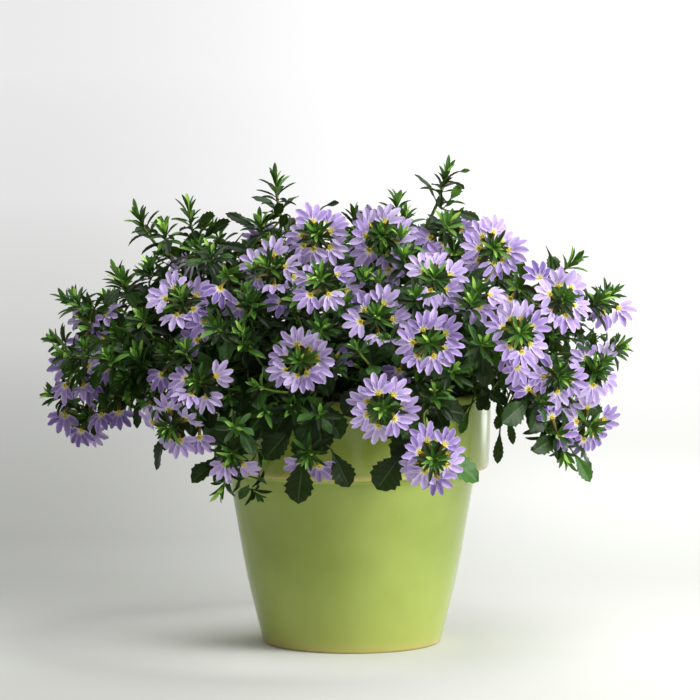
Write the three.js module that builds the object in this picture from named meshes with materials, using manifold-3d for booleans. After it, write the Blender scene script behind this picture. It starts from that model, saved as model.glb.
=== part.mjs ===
// Potted fan flower: forked leafy stems, with rings of lavender fan-shaped flowers near their tips, grow from
// soil in a glazed ceramic pot with a wide plain collar and arch out over it.
// Millimetres, +Z up. The origin is the centre of the pot's underside, and the front of the plant faces -Y.

import * as THREE from 'three';
import { mergeVertices } from 'three/addons/utils/BufferGeometryUtils.js';
import Module from 'manifold-3d';

const wasm = await Module();
wasm.setup();

const { Vector3 } = THREE;
const GAP = 0.3;
const UP = new Vector3(0, 0, 1);

// The pot. The wall is a plain cone that pulls in a little more near the foot, under a wide collar.
const POT = {
  height: 182,
  rimRadius: 100,
  rimRounding: 3,
  lipInset: 2.6,
  rimInnerRadius: 92,
  collarFoot: 127,
  collarFootRadius: 98.3,
  collarRounding: 1.2,
  neck: 122,
  neckRadius: 88.6,
  mid: 64,
  midRadius: 78.6,
  low: 31,
  lowRadius: 71.6,
  footRadius: 64.4,
  footRounding: 1.8,
  floor: 10,
  floorRadius: 60,
  sides: 36,
};
const SOIL = {
  top: 166,
  crown: 170,
  sideGap: 0.42,
  holeFoot: 140,
  holeClearance: 1,
  holeSides: 5,
};

// Stems, in two rings: inner sprays climb over the middle, and outer sprays arch out over the collar.
const STEM = {
  radius: 2.2,
  sides: 4,
  footGap: 4.3,
  sampleSteps: 8,
  shootFoot: 1.5,
  shootTip: 1,
  step: 30,
  leastSteps: 3,
  shortOfHead: 3,
  shortOfTip: 1,
};
const INNER = { sprays: 5, firstHeading: 36, rootReach: 22, forkReach: 26, forkHeight: 222 };
const OUTER = { sprays: 10, firstHeading: 18, rootReach: 52, forkReach: 62, forkHeight: 204 };
const INNER_REACH = 96;

// Where a spray's shoots fork, as shares of its stem, and how they climb away from it and bow to their ends.
const FORK = { lowest: 0.68, span: 0.29 };
const ROUTE = { level: 0.3, climb: 0.42, rise: 18, end: 0.3, archHeight: 214, archRise: 0.8 };

// A fan flower: a root in the hub, a throat, and five lobes that spread in a half circle.
const FAN = {
  throatReach: 10,
  throatRise: 5,
  tierRise: 4.5,
  lobe: 15,
  sideLobe: 13,
  notch: 7.5,
  tipHalfAngle: 7,
  lobeAngle: 33,
  edgeAngle: 96,
  edgeReach: 3.2,
  halfThickness: 1.3,
  leastPlaces: 5,
  tilts: [14, 32, -8, 50],
};
const HUB = { innerRadius: 2.2, outerRadius: 4.2, halfHeight: 1.6, tuftRise: 10 };

// Tufts of narrow bracts, a small one inside each flower head and a larger one on each bare tip.
const HEAD_TUFT = { bracts: 5, reach: 2.4, length: 13, steep: 24, wide: 46, rise: 3 };
const TIP_TUFT = { bracts: 6, reach: 2.6, length: 17, steep: 26, wide: 62, rise: 4 };

// Leaves: the blade is widest past its middle, with a coarse tooth on each side of the tip.
const LEAF = {
  lengths: [27, 37],
  halfWidthShares: [0.21, 0.25],
  spacing: 34,
  firstFromTip: 17,
  bareFoot: 12,
  bend: 38,
  halfThickness: 0.5,
  fold: 0.16,
  faceUp: 0.5,
  rise: 48,
  turn: 137.5,
  tries: 12,
  tryTurn: 43,
  tryShrink: 0.05,
};
const TOOTHED = { side: [[0.3, 0.26], [0.64, 1], [0.75, 0.76], [0.83, 0.84]], ribs: [0.32, 0.72], change: 2 };
const PLAIN = { side: [[0.3, 0.3], [0.62, 1], [0.84, 0.66]], ribs: [0.56], change: 0 };

const CLEAR = { leaves: 4.6, ownLeaves: 3, flowers: 4, ownFlowers: 2, stemStep: 5, pot: 3, insideWall: 88 };
const SEED = 4;

// One row for each shoot that flowers: the middle of its flower head, the heading that the head faces
// (0 is the front, 90 is +X), its lift above the level, and its number of flowers.
const HEADS = [
  [-24, -62, 293, -5, 25, 7],
  [21, -63, 293, 1, 19, 7],
  [97, -50, 284, 14, 14, 8],
  [56, -95, 263, 5, 35, 6],
  [65, 4, 293, 10, 30, 3],
  [-117, -84, 246, -15, 48, 5],
  [-33, -135, 213, -12, 12, 8],
  [52, -135, 226, 5, 12, 7],
  [113, -110, 230, 15, 12, 7],
  [21, -160, 185, -2, 0, 7],
  [54, -150, 149, 8, 2, 8],
  [17, -112, 238, 0, 32, 5],
  [143, -70, 250, 25, 15, 6],
  [165, -60, 200, 28, 5, 5],
  [164, -46, 163, 30, -10, 5],
  [139, -82, 203, 30, -20, 3],
  [84, -92, 252, 10, 34, 3],
  [178, -15, 244, 33, 36, 2],
  [-29, -132, 154, -5, -14, 2],
  [-81, -120, 152, -10, -14, 2],
  [-181, -30, 229, -30, 30, 4],
  [-190, -56, 199, -30, 12, 4],
  [-188, -24, 167, -38, -8, 4],
  [-121, -112, 169, -30, -12, 5],
  [-101, -122, 198, -24, 10, 4],
  [-54, -82, 270, -27, 32, 5],
  [-105, -18, 277, -30, 40, 3],
  [-20, -112, 264, -12, 33, 4],
  [-58, 60, 280, 205, 45, 5],
  [22, 74, 284, 174, 45, 5],
  [96, 60, 272, 138, 35, 5],
  [-115, 86, 260, 222, 25, 4],
  [-16, 124, 264, 186, 22, 4],
  [74, 128, 250, 150, 16, 4],
  [146, 82, 234, 122, 10, 4],
  [-168, 56, 214, 246, 6, 4],
  [-86, 146, 214, 210, 6, 4],
  [2, 162, 206, 180, 2, 4],
  [94, 152, 190, 150, -4, 4],
  [164, 88, 178, 118, -6, 3],
  [-136, 112, 168, 228, -8, 3],
  [40, 158, 152, 166, -10, 3],
];

// One row for each shoot that ends in a bare tuft: the tuft's base, and the heading and lift of its tip.
const TIPS = [
  [-150, -10, 302, -60, 62],
  [-116, -4, 306, -40, 80],
  [-54, -10, 326, -30, 82],
  [32, -8, 312, 30, 80],
  [66, -4, 332, 50, 74],
  [154, -22, 272, 75, 40],
  [172, -28, 248, 80, 30],
  [181, -42, 212, 75, 10],
  [-200, -6, 243, -80, 42],
  [-166, 8, 258, -94, 66],
  [-196, -92, 214, -66, 10],
  [-88, -116, 128, -30, -45],
  [-146, -92, 208, -48, 48],
  [-92, -126, 236, -20, 30],
  [-98, 40, 290, 240, 56],
  [2, 42, 300, 180, 68],
  [74, 50, 296, 130, 60],
  [-176, 92, 236, 240, 35],
  [148, -72, 146, 20, -50],
];

// Large leaves that hang low or stand out: where each one's tip lies, its length and its half width.
const LARGE = [
  [-136, -90, 134, 34, 8],
  [-107, -118, 131, 34, 9],
  [-37, -138, 116, 36, 11],
  [-2, -142, 128, 30, 9],
  [17, -146, 127, 36, 12],
  [92, -132, 126, 44, 10],
  [106, -112, 138, 32, 7],
  [168, -52, 124, 34, 9],
  [-174, -76, 178, 36, 9],
  [-90, -34, 312, 32, 7],
  [-80, -44, 286, 32, 6],
  [162, -62, 236, 30, 9],
];
const LARGE_POSE = { bend: 24, faceUp: 0.4 };

const COLOURS = { glaze: '#a3b65c', soil: '#2b2119', leaf: '#2f5a2a', petal: '#b79be4' };

const rad = THREE.MathUtils.degToRad;

// The way a heading and a lift point.
function facing(heading, lift) {
  const across = Math.cos(rad(lift));
  return new Vector3(Math.sin(rad(heading)) * across, -Math.cos(rad(heading)) * across, Math.sin(rad(lift)));
}

// A unit vector square to an axis, as near as it gets to a wanted way.
function squareTo(axis, wanted) {
  return wanted.clone().addScaledVector(axis, -wanted.dot(axis)).normalize();
}

// A vector that stands at an angle round an axis, counted from the highest way square to it.
function around(axis, angle) {
  const start = squareTo(axis, Math.abs(axis.z) > 0.95 ? new Vector3(0, -1, 0) : UP);
  return start.applyAxisAngle(axis, rad(angle));
}

// Draws between 0 and 1, the same on every run.
function drawsFrom(seed) {
  let state = seed;
  const draw = () => {
    state = (Math.imul(state, 1664525) + 1013904223) >>> 0;
    return state / 4294967296;
  };
  draw();
  return draw;
}

// A closed geometry as a solid that can be joined and cut.
function solidOf(geometry) {
  geometry.deleteAttribute('normal');
  geometry.deleteAttribute('uv');
  const merged = mergeVertices(geometry, 1e-4);
  const corners = merged.index.array;
  const kept = [];
  for (let i = 0; i < corners.length; i += 3) {
    const [a, b, c] = corners.slice(i, i + 3);
    if (a !== b && b !== c && c !== a) kept.push(a, b, c);
  }
  return new wasm.Manifold(new wasm.Mesh({
    numProp: 3,
    vertProperties: merged.attributes.position.array,
    triVerts: new Uint32Array(kept),
  }));
}

function geometryOf(solid) {
  const mesh = solid.getMesh();
  const geometry = new THREE.BufferGeometry();
  geometry.setAttribute('position', new THREE.BufferAttribute(mesh.vertProperties, 3));
  geometry.setIndex(new THREE.BufferAttribute(mesh.triVerts, 1));
  geometry.computeVertexNormals();
  return geometry;
}

function fuse(geometries) {
  return geometries.map(solidOf).reduce((whole, part) => whole.add(part));
}

function geometryFromTriangles(triangles) {
  const geometry = new THREE.BufferGeometry();
  const numbers = triangles.flat().flatMap((corner) => corner.toArray());
  geometry.setAttribute('position', new THREE.Float32BufferAttribute(numbers, 3));
  return geometry;
}

// The triangles of a blade with a thin edge: its outline runs counterclockwise as seen from above, and each rib
// point stands out on both faces. Edge i of the outline belongs to rib owners[i]. Both faces are split alike.
function blade(outline, ribs, owners) {
  const triangles = [];
  outline.forEach((corner, i) => {
    const next = outline[(i + 1) % outline.length];
    const owner = ribs[owners[i]];
    const before = ribs[owners[(i + outline.length - 1) % outline.length]];
    triangles.push([corner, next, owner.top], [next, corner, owner.bottom]);
    if (before !== owner) {
      triangles.push([before.top, corner, owner.top], [owner.bottom, corner, before.bottom]);
    }
  });
  return triangles;
}

// The frame of one leaf: where a share of its length, a half width and a rise come to lie on its bent blade.
function leafPlace(leaf) {
  const side = new Vector3().crossVectors(leaf.up, leaf.forward);
  const bend = rad(leaf.bend);
  const arc = leaf.length / bend;
  return (along, across, rise) => {
    const angle = bend * along;
    const lift = rise + LEAF.fold * Math.abs(across);
    return leaf.base.clone()
      .addScaledVector(leaf.forward, arc * Math.sin(angle) + lift * Math.sin(angle))
      .addScaledVector(leaf.up, arc * (Math.cos(angle) - 1) + lift * Math.cos(angle))
      .addScaledVector(side, across);
  };
}

function leafGeometry(leaf) {
  const place = leafPlace(leaf);
  const { side, ribs, change } = leaf.shape;
  const right = side.map(([along, across]) => place(along, -across * leaf.halfWidth, 0));
  const left = side.map(([along, across]) => place(along, across * leaf.halfWidth, 0)).reverse();
  const outline = [place(0, 0, 0), ...right, place(1, 0, 0), ...left];
  const ribPoints = ribs.map((along) => ({
    top: place(along, 0, LEAF.halfThickness),
    bottom: place(along, 0, -LEAF.halfThickness),
  }));
  const farRib = ribs.length - 1;
  const owners = outline.map((_, i) => (i >= change && i < outline.length - change ? farRib : 0));
  return geometryFromTriangles(blade(outline, ribPoints, owners));
}

// Points spread over a leaf, by shares of its length and of its half width, for keeping leaves clear of others.
const LEAF_SAMPLES = [[0.3, 0.27], [0.48, 0.9], [0.64, 0.9], [0.8, 0.9], [0.98, 0.27]];

function leafSamples(leaf) {
  const place = leafPlace(leaf);
  return LEAF_SAMPLES.flatMap(([along, across]) => (
    [-1, 0, 1].map((side) => place(along, side * across * leaf.halfWidth, 0))
  ));
}

// The number of places for flowers round a hub, and the angle of one of them. A loose head keeps its few
// flowers on its lower side.
function placesOf(head) {
  return Math.max(head.flowers, FAN.leastPlaces);
}

function placeAngle(head, index) {
  const step = 360 / placesOf(head);
  const first = head.flowers < FAN.leastPlaces ? 180 - ((head.flowers - 1) * step) / 2 : head.turn;
  return first + step * index;
}

// The frame of one fan flower: its middle lobe points forward, and its face looks up. Neighbours lie in
// different tiers, so that their lobes overlap without touching.
function fanFrame(head, index, tilt) {
  const last = index === head.flowers - 1 && head.flowers % 2 === 1;
  const tier = last ? 2 : index % 2;
  const outward = around(head.axis, placeAngle(head, index));
  const throat = head.middle.clone()
    .addScaledVector(outward, FAN.throatReach)
    .addScaledVector(head.axis, FAN.throatRise + tier * FAN.tierRise);
  const forward = outward.clone().multiplyScalar(Math.cos(rad(tilt)))
    .addScaledVector(head.axis, Math.sin(rad(tilt)));
  const up = squareTo(forward, head.axis);
  const side = new Vector3().crossVectors(up, forward);
  const place = (angle, reach) => throat.clone()
    .addScaledVector(forward, reach * Math.cos(rad(angle)))
    .addScaledVector(side, reach * Math.sin(rad(angle)));
  return { index, throat, middle: head.middle, up, place };
}

// One flower: a tube from the four corners of its place on the hub to the throat, and a blade cut into lobes.
function fanTriangles(frame, corners) {
  const { throat, up, place } = frame;
  const { lobeAngle, tipHalfAngle, notch } = FAN;
  const edge = [place(-FAN.edgeAngle, FAN.edgeReach), place(-2 * lobeAngle, FAN.sideLobe)];
  for (const middle of [-lobeAngle, 0, lobeAngle]) {
    edge.push(place(middle - lobeAngle / 2, notch));
    edge.push(place(middle - tipHalfAngle, FAN.lobe), place(middle + tipHalfAngle, FAN.lobe));
  }
  edge.push(place(1.5 * lobeAngle, notch), place(2 * lobeAngle, FAN.sideLobe));
  edge.push(place(FAN.edgeAngle, FAN.edgeReach));
  const top = throat.clone().addScaledVector(up, FAN.halfThickness);
  const bottom = throat.clone().addScaledVector(up, -FAN.halfThickness);
  const triangles = edge.slice(1).flatMap((next, i) => [[edge[i], next, top], [next, edge[i], bottom]]);
  const mouth = [edge[0], bottom, edge[edge.length - 1], top];
  corners.forEach((corner, i) => {
    const next = corners[(i + 1) % corners.length];
    triangles.push([corner, next, mouth[i]], [corner, mouth[i], mouth[(i + 3) % 4]]);
  });
  return triangles;
}

function fanSamples(frame) {
  const samples = [frame.throat, frame.throat.clone().lerp(frame.middle, 0.4)];
  for (const angle of [-2, -1, 0, 1, 2]) {
    samples.push(frame.place(angle * FAN.lobeAngle, FAN.lobe * 0.55));
    samples.push(frame.place(angle * FAN.lobeAngle, FAN.lobe * 0.97));
  }
  return samples;
}

// A tuft: narrow bracts stand round a stem's tip, each one a three-sided spike, in turn steep and wide.
function tuftPlaces(tuft) {
  const ring = [];
  const tips = [];
  for (let i = 0; i < tuft.bracts; i += 1) {
    const angle = tuft.turn + (360 * i) / tuft.bracts;
    const way = around(tuft.axis, angle + 180 / tuft.bracts);
    const lean = i % 2 === 0 ? tuft.wide : tuft.steep;
    ring.push(tuft.base.clone().addScaledVector(around(tuft.axis, angle), tuft.reach));
    tips.push(tuft.base.clone()
      .addScaledVector(way, tuft.reach + tuft.length * Math.sin(rad(lean)))
      .addScaledVector(tuft.axis, tuft.length * Math.cos(rad(lean))));
  }
  const crown = tuft.base.clone().addScaledVector(tuft.axis, tuft.rise);
  return { ring, tips, crown };
}

// The skin between a three-sided ring and a tuft's ring, which start at the same angle round the axis.
function bandTriangles(lower, upper) {
  const triangles = [];
  let [i, j] = [0, 0];
  while (i < upper.length || j < lower.length) {
    const low = lower[j % lower.length];
    const high = upper[i % upper.length];
    if ((i + 1) / upper.length <= (j + 1) / lower.length) {
      i += 1;
      triangles.push([low, upper[i % upper.length], high]);
    } else {
      j += 1;
      triangles.push([low, lower[j % lower.length], high]);
    }
  }
  return triangles;
}

// One shoot in one skin: a slim three-sided stem that tapers along its corners, and the tuft on its tip.
function shootGeometry(shoot) {
  const { corners, tuft } = shoot;
  const { ring, tips, crown } = tuftPlaces(tuft);
  const last = corners.length - 1;
  const rings = [];
  let start = around(tuft.axis, tuft.turn);
  for (let i = last; i >= 0; i -= 1) {
    const way = i === last ? tuft.axis : corners[i + 1].clone().sub(corners[Math.max(i - 1, 0)]).normalize();
    start = squareTo(way, start);
    const radius = THREE.MathUtils.lerp(STEM.shootFoot, STEM.shootTip, i / last);
    rings[i] = [0, 120, 240].map((angle) => corners[i].clone()
      .addScaledVector(start.clone().applyAxisAngle(way, rad(angle)), radius));
  }
  const triangles = [[rings[0][0], rings[0][2], rings[0][1]]];
  for (let i = 0; i < last; i += 1) triangles.push(...bandTriangles(rings[i], rings[i + 1]));
  triangles.push(...bandTriangles(rings[last], ring));
  tips.forEach((tip, i) => {
    const next = ring[(i + 1) % ring.length];
    triangles.push([ring[i], next, tip], [next, crown, tip], [crown, ring[i], tip]);
  });
  return geometryFromTriangles(triangles);
}

function tuftSamples(tuft) {
  const { tips, crown } = tuftPlaces(tuft);
  return [tuft.base, crown, ...tips, ...tips.map((tip) => tip.clone().lerp(crown, 0.5))];
}

// Which spray a shoot grows in: sectors of the inner or the outer ring, by where its end lies.
function sprayOf(end) {
  const inner = Math.hypot(end.x, end.y) < INNER_REACH;
  const ring = inner ? INNER : OUTER;
  const heading = THREE.MathUtils.radToDeg(Math.atan2(end.x, -end.y));
  const width = 360 / ring.sprays;
  const sector = Math.floor((((heading - ring.firstHeading) % 360 + 360) % 360 + width / 2) / width);
  return { ring, sector: sector % ring.sprays, name: `${inner ? 'inner' : 'outer'}_${sector % ring.sprays}` };
}

function sprayFrame(ring, sector) {
  const way = facing(ring.firstHeading + (sector * 360) / ring.sprays, 0);
  const root = way.clone().multiplyScalar(ring.rootReach).setZ(SOIL.holeFoot + STEM.footGap);
  const fork = way.clone().multiplyScalar(ring.forkReach).setZ(ring.forkHeight);
  return { root, fork };
}

// The route of one shoot, from its place on the spray's stem to its end.
function shootRoute(start, end, axis) {
  const level = new Vector3(end.x - start.x, end.y - start.y, 0);
  const climb = Math.max(end.z - start.z, 0);
  const drop = Math.max(ROUTE.archHeight - end.z, 0);
  const first = start.clone()
    .addScaledVector(level, ROUTE.level)
    .addScaledVector(UP, ROUTE.climb * climb + ROUTE.rise);
  const last = end.clone()
    .addScaledVector(axis, -ROUTE.end * start.distanceTo(end))
    .addScaledVector(UP, ROUTE.archRise * drop);
  return new THREE.CubicBezierCurve3(start, first, last, end);
}

// The stem that a spray's shoots fork from.
function stemGeometry(route) {
  const corners = Array.from({ length: STEM.sides }, (_, i) => {
    const angle = (2 * Math.PI * i) / STEM.sides;
    return new THREE.Vector2(STEM.radius * Math.cos(angle), STEM.radius * Math.sin(angle));
  });
  const options = { steps: 1, bevelEnabled: false, extrudePath: route };
  return new THREE.ExtrudeGeometry(new THREE.Shape(corners), options);
}

// A geometry made round its own Z axis, set at a place with that axis along a way.
function standAlong(geometry, place, way) {
  geometry.applyQuaternion(new THREE.Quaternion().setFromUnitVectors(UP, way));
  geometry.translate(place.x, place.y, place.z);
  return geometry;
}

// The plan: every shoot with its route, and then the flowers, tufts and leaves that stay clear of the others.
const taken = [];

function take(samples, node, isStem = false) {
  for (const sample of samples) taken.push({ sample, node, isStem });
}

function hitsPot(point) {
  const reach = Math.hypot(point.x, point.y);
  if (reach < CLEAR.insideWall) return point.z < SOIL.crown + CLEAR.pot;
  return point.z < POT.height + CLEAR.pot && reach < POT.rimRadius + CLEAR.pot;
}

// Whether a new leaf or flower keeps its gap to all other nodes, and a smaller one to blades of its own node.
function isClear(samples, node, gap, ownGap) {
  if (samples.some(hitsPot)) return false;
  return !taken.some((other) => {
    const own = other.node === node;
    if (own && other.isStem) return false;
    const least = own ? ownGap : gap;
    return samples.some((sample) => sample.distanceToSquared(other.sample) < least * least);
  });
}

// A point on a shoot's straight-sided stem at a share of its length, and the way that the stem runs there.
function stemPlace(shoot, share) {
  const place = Math.min(share * shoot.steps, shoot.steps - 1e-6);
  const index = Math.floor(place);
  const [near, far] = [shoot.corners[index], shoot.corners[index + 1]];
  return { point: near.clone().lerp(far, place - index), way: far.clone().sub(near).normalize() };
}

const draw = drawsFrom(SEED);
const shoots = [...HEADS, ...TIPS].map(([x, y, z, heading, lift, flowers = 0]) => {
  const middle = new Vector3(x, y, z);
  return {
    middle,
    axis: facing(heading, lift),
    flowers,
    turn: 360 * draw(),
    leafTurn: 360 * draw(),
    spray: sprayOf(middle),
    leaves: [],
    fans: [],
  };
});

const sprays = new Map();
for (const shoot of shoots) {
  const { name, ring, sector } = shoot.spray;
  if (!sprays.has(name)) sprays.set(name, { ...sprayFrame(ring, sector), shoots: [] });
  sprays.get(name).shoots.push(shoot);
}

let number = 0;
for (const spray of sprays.values()) {
  number += 1;
  spray.name = `leafy_spray_${String(number).padStart(2, '0')}`;
  spray.stem = new THREE.LineCurve3(spray.root, spray.fork);
  spray.shoots.sort((a, b) => a.middle.z - b.middle.z);
  spray.shoots.forEach((shoot, i) => {
    const share = spray.shoots.length > 1 ? i / (spray.shoots.length - 1) : 1;
    const start = spray.root.clone().lerp(spray.fork, FORK.lowest + FORK.span * share);
    const short = shoot.flowers > 0 ? STEM.shortOfHead : STEM.shortOfTip;
    const end = shoot.middle.clone().addScaledVector(shoot.axis, -short);
    shoot.route = shootRoute(start, end, shoot.axis);
    shoot.length = shoot.route.getLength();
    shoot.steps = Math.max(STEM.leastSteps, Math.round(shoot.length / STEM.step));
    shoot.corners = shoot.route.getSpacedPoints(shoot.steps);
    shoot.node = spray.name;
    const count = Math.ceil(shoot.length / CLEAR.stemStep);
    const samples = Array.from({ length: count }, (_, place) => stemPlace(shoot, (place + 1) / count).point);
    take(samples, spray.name, true);
  });
  take(spray.stem.getSpacedPoints(STEM.sampleSteps), spray.name, true);
}

for (const shoot of shoots) {
  const size = shoot.flowers > 0 ? HEAD_TUFT : TIP_TUFT;
  const base = shoot.middle.clone().addScaledVector(shoot.axis, shoot.flowers > 0 ? HUB.tuftRise : 0);
  shoot.tuft = { ...size, base, axis: shoot.axis, turn: shoot.turn };
  take(tuftSamples(shoot.tuft), shoot.node);
}

const flowering = shoots.filter((shoot) => shoot.flowers > 0);
flowering.forEach((head, order) => {
  head.bloom = `flower_head_${String(order + 1).padStart(2, '0')}`;
  take([head.middle], head.bloom);
  for (let i = 0; i < head.flowers; i += 1) {
    const isFree = (frame) => isClear(fanSamples(frame), head.bloom, CLEAR.flowers, CLEAR.ownFlowers);
    const free = FAN.tilts.map((tilt) => fanFrame(head, i, tilt)).find(isFree);
    if (free) {
      head.fans.push(free);
      take(fanSamples(free), head.bloom);
    }
  }
});

function leafAt(shoot, order, attempt) {
  const length = LEAF.lengths[order] * (1 - LEAF.tryShrink * attempt);
  const { point: base, way } = stemPlace(shoot, 1 - (LEAF.firstFromTip + LEAF.spacing * order) / shoot.length);
  const outward = around(way, shoot.leafTurn + LEAF.turn * order + LEAF.tryTurn * attempt);
  const rise = rad(LEAF.rise);
  const forward = outward.multiplyScalar(Math.cos(rise)).addScaledVector(way, Math.sin(rise));
  const up = squareTo(forward, way.clone().addScaledVector(UP, LEAF.faceUp));
  const shape = order === 0 ? PLAIN : TOOTHED;
  return { base, forward, up, length, halfWidth: length * LEAF.halfWidthShares[order], bend: LEAF.bend, shape };
}

// A large leaf by where its tip hangs: it grows from one of the stem places that lie a leaf's length away.
function largeLeaves([x, y, z, length, halfWidth]) {
  const tip = new Vector3(x, y, z);
  const half = rad(LARGE_POSE.bend) / 2;
  const chord = (length * Math.sin(half)) / half;
  const places = shoots.flatMap((shoot) => {
    const count = Math.ceil(shoot.length / CLEAR.stemStep);
    const shares = Array.from({ length: count - 2 }, (_, i) => (i + 1) / count);
    return shares.map((share) => ({ shoot, base: stemPlace(shoot, share).point }));
  });
  const fit = (place) => Math.abs(place.base.distanceTo(tip) - chord);
  places.sort((a, b) => fit(a) - fit(b));
  return places.slice(0, LEAF.tries).map(({ shoot, base }) => {
    const way = tip.clone().sub(base).normalize();
    const face = squareTo(way, new Vector3(x, y, Math.hypot(x, y) * LARGE_POSE.faceUp).normalize());
    const forward = way.clone().multiplyScalar(Math.cos(half)).addScaledVector(face, Math.sin(half));
    const up = face.multiplyScalar(Math.cos(half)).addScaledVector(way, -Math.sin(half));
    return { shoot, base, forward, up, length, halfWidth, bend: LARGE_POSE.bend, shape: TOOTHED };
  });
}

for (const row of LARGE) {
  const isFree = (leaf) => isClear(leafSamples(leaf), leaf.shoot.node, CLEAR.leaves, CLEAR.ownLeaves);
  const free = largeLeaves(row).find(isFree);
  if (free) {
    free.shoot.leaves.push(free);
    take(leafSamples(free), free.shoot.node);
  }
}

for (const shoot of shoots) {
  const room = shoot.length - LEAF.firstFromTip - LEAF.bareFoot;
  const count = Math.min(LEAF.lengths.length, 1 + Math.floor(room / LEAF.spacing));
  for (let order = 0; order < count; order += 1) {
    const tries = Array.from({ length: LEAF.tries }, (_, attempt) => leafAt(shoot, order, attempt));
    const free = tries.find((leaf) => isClear(leafSamples(leaf), shoot.node, CLEAR.leaves, CLEAR.ownLeaves));
    if (free) {
      shoot.leaves.push(free);
      take(leafSamples(free), shoot.node);
    }
  }
}

// The solids.
function lathe(profile) {
  const geometry = new THREE.LatheGeometry(profile.map(([r, z]) => new THREE.Vector2(r, z)), POT.sides);
  return geometry.rotateX(Math.PI / 2);
}

function innerRadius(z) {
  const slope = (POT.rimInnerRadius - POT.floorRadius) / (POT.height - POT.rimRounding - POT.floor);
  return POT.floorRadius + slope * (z - POT.floor);
}

function potSolid() {
  const profile = [
    [0, 0],
    [POT.footRadius - POT.footRounding, 0],
    [POT.footRadius, POT.footRounding],
    [POT.lowRadius, POT.low],
    [POT.midRadius, POT.mid],
    [POT.neckRadius, POT.neck],
    [POT.collarFootRadius - POT.collarRounding, POT.collarFoot],
    [POT.collarFootRadius, POT.collarFoot + POT.collarRounding],
    [POT.rimRadius, POT.height - POT.rimRounding],
    [POT.rimRadius - POT.lipInset, POT.height],
    [POT.rimInnerRadius + POT.lipInset, POT.height],
    [POT.rimInnerRadius, POT.height - POT.rimRounding],
    [POT.floorRadius, POT.floor],
    [0, POT.floor],
  ];
  return solidOf(lathe(profile));
}

function soilSolid() {
  const bottom = POT.floor + GAP;
  const profile = [
    [0, bottom],
    [innerRadius(bottom) - SOIL.sideGap, bottom],
    [innerRadius(SOIL.top) - SOIL.sideGap, SOIL.top],
    [0, SOIL.crown],
  ];
  let soil = solidOf(lathe(profile));
  const radius = STEM.radius + SOIL.holeClearance;
  const length = 2 * (SOIL.top - SOIL.holeFoot);
  for (const spray of sprays.values()) {
    const way = spray.fork.clone().sub(spray.root).normalize();
    const hole = new THREE.CylinderGeometry(radius, radius, length, SOIL.holeSides).rotateX(Math.PI / 2);
    const middle = spray.root.clone().addScaledVector(way, length / 2 - GAP);
    soil = soil.subtract(solidOf(standAlong(hole, middle, way)));
  }
  return soil;
}

function spraySolid(spray) {
  const parts = [stemGeometry(spray.stem)];
  for (const shoot of spray.shoots) {
    parts.push(shootGeometry(shoot), ...shoot.leaves.map(leafGeometry));
  }
  return fuse(parts);
}

// A flower head: a three-sided ring round the stem, whose outer wall opens into the tubes of its flowers.
function headSolid(head) {
  const count = placesOf(head);
  const rings = Array.from({ length: count }, (_, i) => {
    const way = around(head.axis, placeAngle(head, i - 0.5));
    const at = (reach, rise) => (
      head.middle.clone().addScaledVector(way, reach).addScaledVector(head.axis, rise)
    );
    return {
      inner: at(HUB.innerRadius, 0),
      top: at(HUB.outerRadius, HUB.halfHeight),
      bottom: at(HUB.outerRadius, -HUB.halfHeight),
    };
  });
  const triangles = rings.flatMap((near, i) => {
    const far = rings[(i + 1) % count];
    const walls = [
      [near.inner, near.top, far.inner],
      [far.inner, near.top, far.top],
      [near.bottom, near.inner, far.bottom],
      [far.bottom, near.inner, far.inner],
    ];
    const fan = head.fans.find((frame) => frame.index === i);
    const corners = [near.top, near.bottom, far.bottom, far.top];
    if (fan) return [...walls, ...fanTriangles(fan, corners)];
    return [...walls, [near.top, near.bottom, far.bottom], [near.top, far.bottom, far.top]];
  });
  return solidOf(geometryFromTriangles(triangles));
}

function addPiece(plant, name, solid, colour, roughness) {
  const material = new THREE.MeshStandardMaterial({ color: colour, roughness, metalness: 0 });
  const mesh = new THREE.Mesh(geometryOf(solid), material);
  mesh.name = name;
  plant.add(mesh);
}

const plant = new THREE.Group();
addPiece(plant, 'pot', potSolid(), COLOURS.glaze, 0.15);
addPiece(plant, 'soil', soilSolid(), COLOURS.soil, 0.95);
for (const spray of sprays.values()) addPiece(plant, spray.name, spraySolid(spray), COLOURS.leaf, 0.55);
for (const head of flowering) addPiece(plant, head.bloom, headSolid(head), COLOURS.petal, 0.8);

export default plant;
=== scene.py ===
# Potted fan flower: leafy stems with rings of lavender fan-shaped flowers in a lime-green glazed pot.
# The plan of stems, flowers and leaves is worked out in millimetres, as in the solid model, and the meshes
# are made in metres. Angles are in degrees.

import math
from itertools import product
from types import SimpleNamespace

import bpy
import numpy as np
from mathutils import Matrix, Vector
from mathutils.kdtree import KDTree


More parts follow.
